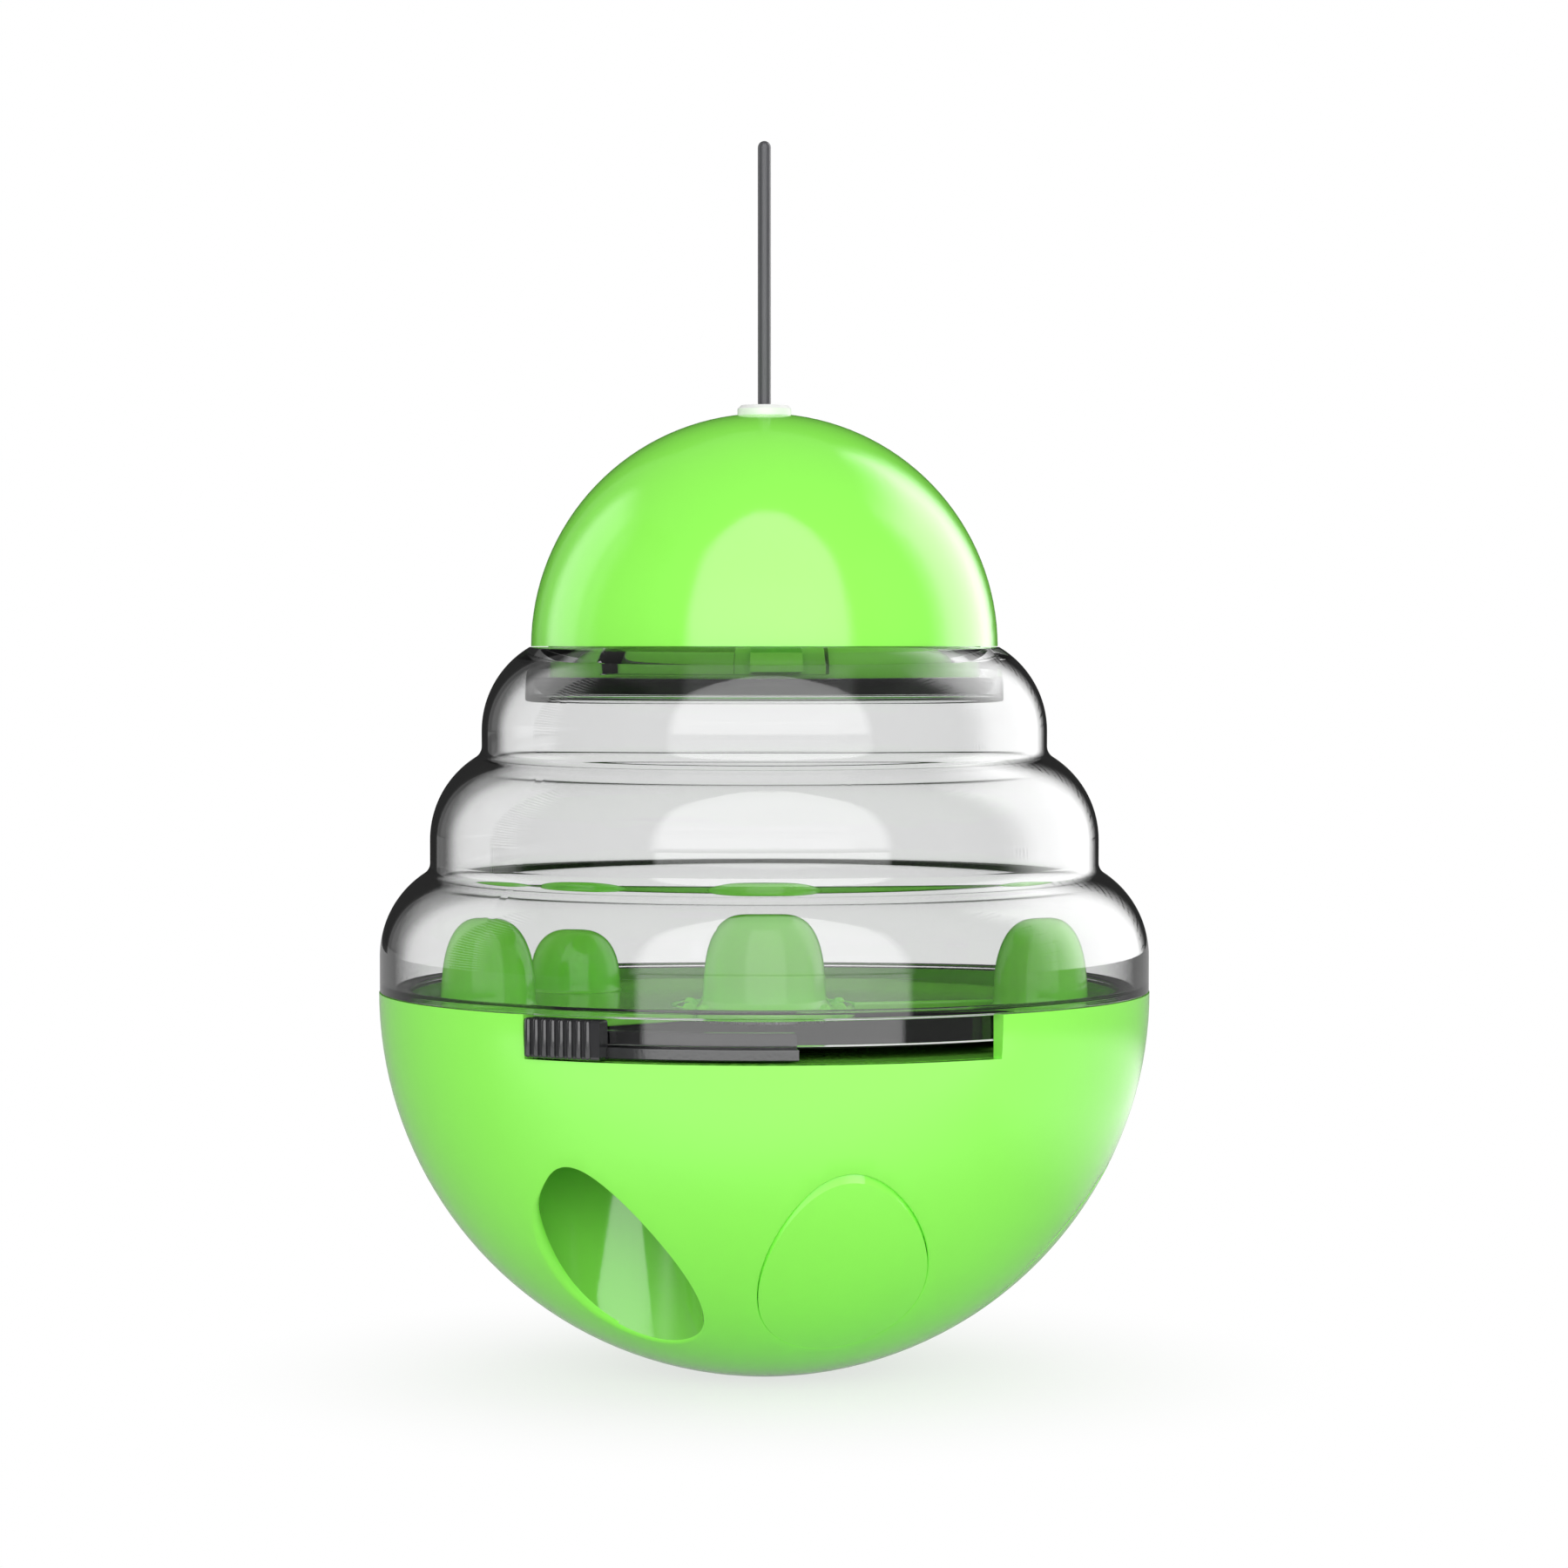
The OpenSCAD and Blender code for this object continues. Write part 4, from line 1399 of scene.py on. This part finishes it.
@dataclass
class Opening:
    """A leaning round opening in the bowl, with the rounding of its edge.

    Attributes:
        ring: distance of its axis from the toy's, at its own height.
        azimuth: azimuth of the axis there.
        radius: the opening's radius.
        lip: least and greatest radius of the rounding.
        full_deg: angle round the axis, from the outward side towards -X, at which the rounding is greatest.
        height: height at which the axis stands on its ring.
        lean: direction of the axis.
        slack: how far a place on the wall may be off the radius.
    """

    ring: float
    azimuth: float
    radius: float
    lip: Point2
    full_deg: float = 135.0
    height: float = 15.257
    lean: Point3 = (-0.1045, 0.0, 0.9945)
    slack: float = 0.03
    foot: Vector = field(init=False)
    axis: Vector = field(init=False)
    out: Vector = field(init=False)
    left: Vector = field(init=False)

    def __post_init__(self) -> None:
        """Sets up the opening's own directions."""
        self.foot = Vector((*spot(self.ring, self.azimuth), self.height))
        self.axis = Vector(self.lean).normalized()
        outward = Vector((*spot(1.0, self.azimuth), 0.0))
        self.out = (outward - self.axis * outward.dot(self.axis)).normalized()
        self.left = self.axis.cross(self.out)
        if self.left.x > 0.0:
            self.left = -self.left

    def spoke(self, place: Vector) -> Vector:
        """Vector from the axis to a place, square to the axis."""
        off = place - self.foot
        return off - self.axis * off.dot(self.axis)

    def holds(self, places: list[Vector]) -> bool:
        """Tells whether places all lie on the opening's wall."""
        return all(abs(self.spoke(place).length - self.radius) < self.slack for place in places)

    def rounding(self, place: Vector, centre: Vector, ball_r: float, steps: int = 5) -> list[Vector]:
        """Points of the rounding at one point of the edge.

        Args:
            place: the point on the sharp edge.
            centre: centre of the ball that the opening is cut into.
            ball_r: its radius.
            steps: number of pieces that the rounding is cut into.

        Returns:
            Points from the opening's wall to the ball.
        """
        away = self.spoke(place).normalized()
        turn = math.degrees(math.atan2(away.dot(self.left), away.dot(self.out)))
        share = eased(0.3 + math.cos(math.radians(turn - self.full_deg)))
        size = self.lip[0] + (self.lip[1] - self.lip[0]) * share
        start = self.foot + away * (self.radius + size) - centre
        along = start.dot(self.axis)
        reach = math.sqrt(along * along - start.dot(start) + (ball_r - size) ** 2)
        middle = start - self.axis * (along + reach)
        ball = middle.normalized()
        return [centre + middle + (-away).slerp(ball, k / steps) * size for k in range(steps + 1)]


@dataclass
class Bowl:
    """The bowl of the CAD with a new outer skin, which rounds the edges of its openings.

    Attributes:
        centre_z: height of the ball's centre.
        radius: the ball's radius.
        outlet: the opening that treats leave through.
        ports: the openings that plugs close.
        grid_deg: distance between the skin's points.
        weld: points that are closer than this are one, in millimetres.
        on_ball: how far a point of the outer skin may be off the ball.
        facing: how well a face of the skin has to face outwards, 1 for square.
        foot_z: height up to which faces belong to the flat foot.
        clear_of_edge: how far the grid stays from the rings, as a share of its own step.
        sharp_deg: edges that turn by more than this stay sharp.
        wall_lift_deg: lift of the normals of the outlet's wall, so that it mirrors the low card.
    """

    centre_z: float = RIM_Z
    radius: float = 51.5
    outlet: Opening = field(default_factory=lambda: Opening(37.0, -28.8, 9.66, (0.12, 1.0)))
    ports: list[Opening] = field(
        default_factory=lambda: [Opening(36.6, 16.0 + 69.0 * i, 11.0, (0.28, 0.28)) for i in range(4)]
    )
    grid_deg: float = 2.2
    weld: float = 0.0005
    on_ball: float = 0.02
    facing: float = 0.97
    foot_z: float = 0.3
    clear_of_edge: float = 0.45
    wall_lift_deg: float = 5.5
    sharp_deg: float = 32.0
    centre: Vector = field(init=False)

    def __post_init__(self) -> None:
        """Sets up the ball's centre."""
        self.centre = Vector((0.0, 0.0, self.centre_z))

    def flat(self, place: Vector) -> Vector:
        """Place of a point of the ball in a flat map round its lowest point, in degrees."""
        off = place - self.centre
        across = math.hypot(off.x, off.y)
        fall = math.degrees(math.atan2(across, -off.z))
        return Vector((off.x, off.y)) * (fall / across) if across > 1e-9 else Vector((0.0, 0.0))

    def round(self, place: Vector) -> Vector:
        """Point of the ball at a place of the flat map."""
        fall = math.radians(place.length)
        aside = Vector((place.x, place.y, 0.0)).normalized() * (self.radius * math.sin(fall))
        return self.centre + aside - Vector((0.0, 0.0, self.radius * math.cos(fall)))

    def loops(self, shell: bmesh.types.BMesh) -> list[list[bmesh.types.BMVert]]:
        """Orders the points along the open edges of a shell.

        Args:
            shell: the shell without its outer skin.

        Returns:
            One list of points for each opening.
        """
        ways: dict[bmesh.types.BMVert, list[bmesh.types.BMVert]] = {}
        for edge in shell.edges:
            if edge.is_boundary:
                a, b = edge.verts
                ways.setdefault(a, []).append(b)
                ways.setdefault(b, []).append(a)
        made = []
        left = set(ways)
        while left:
            here = min(left, key=lambda vert: vert.index)
            ring = []
            while here in left:
                left.discard(here)
                ring.append(here)
                onward = [vert for vert in ways[here] if vert in left]
                here = onward[0] if onward else here
            made.append(ring)
        return made

    def skin(self, rings: list[list[Vector]]) -> tuple[list[Vector], list[tuple[int, int, int]]]:
        """Covers the ball between rings of points.

        Args:
            rings: the rings, the outermost first.

        Returns:
            The points, which start with those of the rings, and the triangles.
        """
        flats = [[self.flat(place) for place in ring] for ring in rings]
        points = [place for ring in flats for place in ring]
        edges = []
        start = 0
        for ring in flats:
            count = len(ring)
            edges += [(start + i, start + (i + 1) % count) for i in range(count)]
            start += count
        near = KDTree(len(points))
        for i, place in enumerate(points):
            near.insert((*place, 0.0), i)
        near.balance()
        for row in range(1, int(90.0 / self.grid_deg) + 1):
            fall = row * self.grid_deg
            count = max(8, round(360.0 * math.sin(math.radians(fall)) / self.grid_deg))
            for i in range(count):
                place = Vector(spot(fall, 360.0 * (i + 0.5 * (row % 2)) / count))
                if near.find((*place, 0.0))[2] > self.clear_of_edge * self.grid_deg and covered(flats, place):
                    points.append(place)
        found, _, faces, origins, _, _ = delaunay_2d_cdt(points, edges, [], 0, 1e-7)
        kept = []
        for face in faces:
            middle = (found[face[0]] + found[face[1]] + found[face[2]]) / 3.0
            if covered(flats, middle):
                kept.append(tuple(origins[i][0] for i in face))
        return [self.round(place) for place in points], kept

    def build(self, frame: dict) -> None:
        """Makes the bowl from the CAD's own and puts it in the frame.
        """
        shell = bmesh.new()
        shell.from_mesh(frame["nodes"]["bowl"].data)
        bmesh.ops.scale(shell, vec=(1.0 / MM,) * 3, verts=shell.verts)
        bmesh.ops.remove_doubles(shell, verts=shell.verts, dist=self.weld)
        outer = []
        for face in shell.faces:
            off = max(abs((vert.co - self.centre).length - self.radius) for vert in face.verts)
            away = (face.calc_center_median() - self.centre).normalized()
            over_foot = max(vert.co.z for vert in face.verts) > self.foot_z
            if off < self.on_ball and face.normal.dot(away) > self.facing and over_foot:
                outer.append(face)
        bmesh.ops.delete(shell, geom=outer, context="FACES")
        shell.verts.index_update()
        rings = sorted(self.loops(shell), key=lambda ring: -max(vert.co.z for vert in ring))
        verts: list[bmesh.types.BMVert] = []
        edges: list[list[Vector]] = []
        for ring in rings:
            places = [vert.co for vert in ring]
            for opening in (self.outlet, *self.ports):
                if not opening.holds(places):
                    continue
                rows = [opening.rounding(place, self.centre, self.radius) for place in places]
                for vert, row in zip(ring, rows):
                    vert.co = row[0]
                for k in range(1, len(rows[0])):
                    new = [shell.verts.new(row[k]) for row in rows]
                    for i in range(len(new)):
                        n = (i + 1) % len(new)
                        shell.faces.new((ring[i], ring[n], new[n], new[i]))
                    ring = new
                break
            verts += ring
            edges.append([vert.co.copy() for vert in ring])
        points, faces = self.skin(edges)
        verts += [shell.verts.new(place) for place in points[len(verts):]]
        for face in faces:
            shell.faces.new([verts[i] for i in face])
        bmesh.ops.recalc_face_normals(shell, faces=shell.faces)
        LOG.info("bowl skin: %d rings, %d new faces, %d open edges", len(rings), len(faces),
                 sum(1 for edge in shell.edges if not edge.is_manifold))
        bmesh.ops.scale(shell, vec=(MM,) * 3, verts=shell.verts)
        piece = bmesh_object("bowl_shell", shell, self.sharp_deg)
        finish_piece(piece, Body.BASE, Slot.GREEN, GREEN, "bowl")
        mesh = piece.data
        # Painted shade: the outlet's wall wears the darker bore green, and its normals also lean up by
        # wall_lift_deg.
        mesh.materials.append(BORE_PAINTED_SHADE.material())
        normals = [Vector(corner.vector) for corner in mesh.corner_normals]
        lift = self.outlet.axis * math.tan(math.radians(self.wall_lift_deg))
        for face in mesh.polygons:
            if not self.outlet.holds([mesh.vertices[i].co / MM for i in face.vertices]):
                continue
            face.material_index = 1
            for corner in face.loop_indices:
                place = mesh.vertices[mesh.loops[corner].vertex_index].co / MM
                normals[corner] = (lift - self.outlet.spoke(place).normalized()).normalized()
        mesh.normals_split_custom_set(normals)


@dataclass
class Gate:
    """The gate that the slider turns: a thin disc with a drop hole, and a thick arm with an apron.

    Attributes:
        low: height of the underside.
        high: height of the top.
        sheet: thickness of the disc.
        disc_r: radius of the disc at its front and at its back.
        front_az: half of the width of its front part.
        arm: first and last azimuth of the arm.
        arm_r: inner and outer radius of the arm.
        pocket: azimuths of the pocket for the slider's foot.
        pocket_r: radius at which the pocket ends.
        apron_r: inner and outer radius of the apron.
        apron_top: height of its top.
        bore_r: radius of the bore for the spindle.
        boss_r: outer radius of the boss round it.
        hole: ring radius and azimuth of the drop hole.
        hole_r: radius of the hole.
        sleeve_r: outer radius of the sleeve under the hole.
    """

    low: float = GATE_LOW
    high: float = GATE_HIGH
    sheet: float = 0.4
    disc_r: Point2 = (43.8, 40.3)
    front_az: float = 45.5
    arm: Point2 = (-35.3, 5.0)
    arm_r: Point2 = (41.0, 49.1)
    pocket: Point2 = (-32.95, -25.55)
    pocket_r: float = 46.45
    apron_r: Point2 = (44.4, 45.9)
    apron_top: float = 49.257
    bore_r: float = 5.05
    boss_r: float = 8.0
    hole: Point2 = (31.3, -32.0)
    hole_r: float = 8.2
    sleeve_r: float = 9.4

    def ring(self, name: str, centre: Point2, inner: float, outer: float) -> Object:
        """Makes a round wall from the underside up into the disc.

        Args:
            name: the piece's name.
            centre: where it stands.
            inner: its inner radius.
            outer: its outer radius.

        Returns:
            The wall.
        """
        top = self.high - 0.05
        corners = [(inner, self.low, 0.1), (outer, self.low, 0.2), (outer, top, 0.0), (inner, top, 0.0)]
        return lathe(name, fillet(corners), centre=centre)

    def build(self) -> None:
        """Makes the disc, the arm and its apron and puts them in the frame."""
        edge = sweep(self.disc_r[0], -self.front_az, self.front_az)
        edge += sweep(self.disc_r[1], self.front_az, 360.0 - self.front_az)
        disc = slab("disc", edge, self.high - self.sheet, self.high, 0.08)
        for centre, radius in (((0.0, 0.0), self.bore_r), (spot(*self.hole), self.hole_r)):
            disc = bored(disc, cylinder(radius, self.low, self.high + 1.0, centre))
        disc.name = "gate_sheet"
        finish_piece(disc, Body.GATE, Slot.GATE, DULL, "gate_disc")
        first, last = self.arm
        outline = sweep(self.arm_r[1], first, self.pocket[0]) + sweep(self.pocket_r, *self.pocket)
        outline += sweep(self.arm_r[1], self.pocket[1], last) + sweep(self.arm_r[0], last, first)
        apron = band(self.apron_r[1], self.apron_r[0], first, last)
        parts = [
            slab("arm", outline, self.low, self.high, 0.15),
            slab("apron", apron, self.high - 0.3, self.apron_top, 0.25),
            self.ring("boss", (0.0, 0.0), self.bore_r, self.boss_r),
            self.ring("sleeve", spot(*self.hole), self.hole_r, self.sleeve_r),
        ]
        finish_piece(joined("gate_arm", parts), Body.GATE, Slot.GATE, BLACK)


@dataclass
class Seal:
    """The rubber seal under the neck, which draws in towards its lower edge."""

    low: float = 90.9
    high: float = 92.85
    outer_r: float = 30.9
    inner_r: float = 29.0

    def build(self) -> None:
        """Makes the seal and puts it in the frame."""
        corners = [
            (self.inner_r, self.low, 0.15),
            (self.inner_r + 0.35, self.low, 0.15),
            (self.outer_r - 0.35, self.high - 0.9, 0.3),
            (self.outer_r, self.high - 0.45, 0.15),
            (self.outer_r, self.high, 0.15),
            (self.inner_r, self.high, 0.15),
        ]
        piece = lathe("seal_ring", fillet(corners), segments=240)
        finish_piece(piece, Body.SEAL, Slot.SEAL, RUBBER, "neck_seal")


@dataclass
class Mouldings:
    """The CAD nodes that keep their own shape, with the finish of each."""

    plugs: int = 4
    finishes: dict[str, Finish] = field(
        default_factory=lambda: {
            "floor_plate": GREEN,
            "cap": GREEN,
            "cap_collar": GREEN,
            "weight_washers": STEEL,
            "gate_washer": STEEL,
            "counterweight": IRON,
            "wand_grommet": WHITE,
            "wand": WAND,
        }
    )

    def dress(self, frame: dict) -> None:
        """Gives each node its finish.
        """
        green = {f"port_plug_{i + 1}": GREEN for i in range(self.plugs)}
        for name, finish in {**green, **self.finishes}.items():
            node = frame["nodes"][name]
            node.data.materials.clear()
            node.data.materials.append(finish.material())
            LOG.info("node %s wears %s", name, finish.name)


# Studio


def unseen(piece: Object, *rays: str) -> None:
    """Hides a piece from some kinds of rays."""
    for ray in rays:
        setattr(piece, "visible_" + ray, False)


@dataclass(frozen=True)
class Card:
    """A glowing or dark sheet that only reflections see, given by its directions from the object.

    Attributes:
        name: its name.
        middle_deg: azimuth of its middle, 0 in front and positive towards +X.
        half_deg: half of its width.
        low_deg: elevation of its lower edge.
        high_deg: elevation of its upper edge.
        arch_deg: height of the rounded part at its top.
        glow: its strength.
        soft_deg: how far in from its edges it fades.
        within: share of its glow that is seen through clear plastic.
        reach: its distance in millimetres.
        cells: number of faces along each side.
    """

    name: str
    middle_deg: float
    half_deg: float
    low_deg: float
    high_deg: float
    arch_deg: float
    glow: float
    soft_deg: float = 2.0
    within: float = 0.2
    reach: float = 1500.0
    cells: int = 40

    def sheet(self, aim_z: float) -> Object:
        """Makes the sheet as part of a ball round the object.

        Args:
            aim_z: height of the ball's centre in millimetres.

        Returns:
            The sheet, with how far its glow has faded at each point.
        """
        points = []
        fades = []
        for i in range(self.cells + 1):
            rise = self.low_deg + (self.high_deg - self.low_deg) * i / self.cells
            into = max(0.0, rise - (self.high_deg - self.arch_deg)) / max(self.arch_deg, TINY)
            half = self.half_deg * math.sqrt(max(0.0, 1.0 - into * into))
            flat = self.reach * math.cos(math.radians(rise))
            for j in range(self.cells + 1):
                across = 2.0 * j / self.cells - 1.0
                place = spot(flat, self.middle_deg + half * across)
                points.append((*place, aim_z + self.reach * math.sin(math.radians(rise))))
                inside = min(half * (1.0 - abs(across)), self.high_deg - rise, rise - self.low_deg)
                fades.append(eased(inside / self.soft_deg))
        row = self.cells + 1
        corners = [i * row + j for i in range(self.cells) for j in range(self.cells)]
        card = mesh_object(self.name, points, [(a, a + row, a + row + 1, a + 1) for a in corners])
        card.data.attributes.new("fade", "FLOAT", "POINT").data.foreach_set("value", fades)
        return card

    def build(self, aim_z: float) -> None:
        """Makes the card and its glow.

        Args:
            aim_z: height of the middle of the object in millimetres.
        """
        card = self.sheet(aim_z)
        material, tree, shader = new_material(self.name)
        tree.nodes.remove(shader)
        path = add_node(tree, "ShaderNodeLightPath", {}).outputs
        glow = add_node(tree, "ShaderNodeEmission", {"Strength": dimmed(tree, path, self.glow, self.within)})
        clear = add_node(tree, "ShaderNodeBsdfTransparent", {})
        fade = add_node(tree, "ShaderNodeAttribute", {}, attribute_name="fade").outputs["Fac"]
        mirrored = math_node(tree, "MINIMUM", path["Glossy Depth"], 1.0)
        mix_surface(tree, math_node(tree, "MULTIPLY", mirrored, fade), clear, glow)
        card.data.materials.append(material)
        unseen(card, "camera", "diffuse", "shadow")


@dataclass(frozen=True)
class Lamp:
    """A soft rectangular lamp that shows in no reflection.

    Attributes:
        name: its name.
        middle_deg: its azimuth, 0 in front and positive towards +X.
        rise_deg: its elevation.
        size: its width and height in metres.
        watts: its power.
        reach: its distance in metres.
    """

    name: str
    middle_deg: float
    rise_deg: float
    size: Point2
    watts: float
    reach: float = 1.1

    def build(self, aim: Vector) -> None:
        """Places the lamp so that it faces a point.

        Args:
            aim: the point it faces.
        """
        data = bpy.data.lights.new(self.name, "AREA")
        data.shape = "RECTANGLE"
        data.size, data.size_y = self.size
        data.energy = self.watts
        made = linked(self.name, data)
        rise = math.radians(self.rise_deg)
        away = Vector((*spot(math.cos(rise), self.middle_deg), math.sin(rise)))
        made.location = aim + away * self.reach
        made.rotation_euler = (-away).to_track_quat("-Z", "Y").to_euler()
        unseen(made, "camera", "glossy", "transmission")


@dataclass
class Studio:
    """A pale floor, soft lamps, cards for glossy surfaces to reflect, and the camera.

    Attributes:
        eye: the camera's place in metres.
        pitch_deg: how far it looks down.
        yaw_deg: how far it looks to the right.
        lens_mm: its focal length on a 36 mm sensor.
        ambient: the level that light from all round has on matte surfaces.
        mirrored: the level that glossy surfaces see past the cards.
        within: share of that level that is seen through clear plastic.
        aim_z: height of the middle of the object, in millimetres.
        floor_r: half of the floor's width, in millimetres.
        shadow: where the shadow round the foot starts and ends, and how bright it is under the foot.
        pool: where the floor's lit ring comes in and goes out, by distance from the toy.
        pool_front: where it comes in towards the front.
        pool_right: where it comes in towards the right, and by how much.
        floor_glow: what glossy surfaces see of the floor, and what the lit ring adds.
        floor_within: share of it that is seen through clear plastic.
    """

    eye: Point3 = (0.0, -0.618, 0.0972)
    pitch_deg: float = 1.70
    yaw_deg: float = 0.243
    lens_mm: float = 105.95
    ambient: float = 0.42
    mirrored: float = 0.24
    within: float = 0.6
    aim_z: float = 60.0
    floor_r: float = 6000.0
    shadow: Point3 = (0.012, 0.080, 0.72)
    pool: tuple[Point2, Point2] = ((0.045, 0.090), (0.420, 0.250))
    pool_front: Point2 = (-0.020, -0.120)
    pool_right: Point3 = (0.050, 0.130, 0.55)
    floor_glow: Point2 = (0.40, 1.75)
    floor_within: float = 0.2
    lamps: tuple[Lamp, ...] = (
        Lamp("front_lamp", -2.0, 12.0, (1.3, 0.8), 10.0),
        Lamp("right_lamp", 75.0, 20.0, (0.6, 0.8), 3.0),
        Lamp("left_lamp", -75.0, 20.0, (0.6, 0.8), 1.2),
        Lamp("top_lamp", 180.0, 65.0, (0.8, 0.5), 2.0),
    )
    cards: tuple[Card, ...] = (
        Card("front_card", 2.3, 41.8, 0.0, 71.0, 32.0, 4.8, soft_deg=4.0),
        Card("low_card", 2.6, 38.6, -8.3, 1.0, 0.1, 4.8, soft_deg=0.1, reach=400.0),
        Card("right_card", 122.0, 38.0, -34.0, 60.0, 14.0, 4.8, soft_deg=24.0),
        Card("left_card", -112.0, 26.0, -18.0, 50.0, 14.0, 2.0, soft_deg=12.0),
        Card("back_flag", 180.0, 30.0, -20.0, 50.0, 1.0, 0.03, within=1.0),
        Card("left_flag", -82.0, 24.0, -20.0, 50.0, 1.0, 0.07, within=1.0),
        Card("right_flag", 82.0, 18.0, -20.0, 50.0, 1.0, 0.22, within=1.0),
    )

    def camera(self) -> None:
        """Places the camera at the photograph's view."""
        data = bpy.data.cameras.new("camera")
        data.lens = self.lens_mm
        data.sensor_width = 36.0
        data.clip_start = 0.01
        data.clip_end = 20.0
        made = linked("camera", data)
        made.location = self.eye
        made.rotation_euler = (math.radians(90.0 - self.pitch_deg), 0.0, math.radians(-self.yaw_deg))
        bpy.context.scene.camera = made

    def world(self) -> None:
        """White where the camera or clear plastic looks past the object, and a plain level elsewhere."""
        world = bpy.data.worlds.new("studio")
        bpy.context.scene.world = world
        world.use_nodes = True
        tree = world.node_tree
        calc = partial(math_node, tree)
        path = add_node(tree, "ShaderNodeLightPath", {}).outputs
        open_view = calc("LESS_THAN", path["Glossy Depth"], 0.5)
        shown = calc("MAXIMUM", path["Is Glossy Ray"], path["Is Transmission Ray"])
        share = calc("MAXIMUM", open_view, dimmed(tree, path, self.mirrored, self.within))
        seen = calc("MAXIMUM", path["Is Camera Ray"], calc("MULTIPLY", shown, share))
        matte = calc("MULTIPLY", path["Is Diffuse Ray"], self.ambient)
        levels = {"Color": (1.0, 1.0, 1.0, 1.0), "Strength": calc("MAXIMUM", seen, matte)}
        feed(tree, tree.nodes["Background"], levels)

    def floor(self) -> None:
        """Adds the pale floor, white to the camera and through clear plastic but for a soft shadow."""
        ends = ((-1, -1), (1, -1), (1, 1), (-1, 1))
        corners = [(x * self.floor_r, y * self.floor_r, 0.0) for x, y in ends]
        made = mesh_object("floor", corners, [(0, 1, 2, 3)])
        material, tree, shader = new_material("pale_floor")
        grey = (0.78, 0.78, 0.78, 1.0)
        feed(tree, shader, {"Base Color": grey, "Roughness": 0.9, "Specular IOR Level": 0.0})
        calc = partial(math_node, tree)
        ramp = partial(ramp_node, tree)
        where = add_node(tree, "ShaderNodeTexCoord", {}).outputs["Object"]
        away = add_node(tree, "ShaderNodeVectorMath", {0: where}, operation="LENGTH").outputs["Value"]
        place = add_node(tree, "ShaderNodeSeparateXYZ", {0: where}).outputs
        near = calc("MULTIPLY", ramp(away, *self.pool[0]), ramp(away, *self.pool[1]))
        right = calc("MULTIPLY", ramp(place["X"], *self.pool_right[:2]), self.pool_right[2])
        pool = calc("MULTIPLY", near, calc("MAXIMUM", ramp(place["Y"], *self.pool_front), right))
        lit = calc("ADD", calc("MULTIPLY", pool, self.floor_glow[1]), self.floor_glow[0])
        path = add_node(tree, "ShaderNodeLightPath", {}).outputs
        open_view = calc("LESS_THAN", path["Glossy Depth"], 0.5)
        mirrored = calc("MINIMUM", path["Glossy Depth"], 1.0)
        through = calc("MULTIPLY", open_view, path["Is Transmission Ray"])
        seen = calc("MAXIMUM", path["Is Camera Ray"], through)
        share = calc("MAXIMUM", calc("MULTIPLY", seen, ramp(away, *self.shadow)), mirrored)
        kept = dimmed(tree, path, 1.0, self.floor_within)
        bright = calc("MULTIPLY", calc("MULTIPLY", lit, kept), mirrored)
        glow = add_node(tree, "ShaderNodeEmission", {"Strength": calc("ADD", open_view, bright)})
        mix_surface(tree, share, shader, glow)
        made.data.materials.append(material)

    def build(self) -> None:
        """Sets up the whole studio."""
        bpy.context.scene.view_settings.view_transform = "Standard"
        self.camera()
        self.world()
        self.floor()
        for lamp in self.lamps:
            lamp.build(Vector((0.0, 0.0, self.aim_z * MM)))
        for card in self.cards:
            card.build(self.aim_z)


def main() -> None:
    """Builds the sub-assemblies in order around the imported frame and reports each."""
    logging.basicConfig(level=logging.INFO, format="%(name)s: %(message)s")
    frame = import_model()
    Mouldings().dress(frame)
    Bowl().build(frame)
    Deck().build()
    Hub().build()
    Gate().build()
    Slider().build()
    Fixings().build()
    Seal().build()
    Hopper().build()
    Studio().build()


if __name__ == "__main__":
    main()
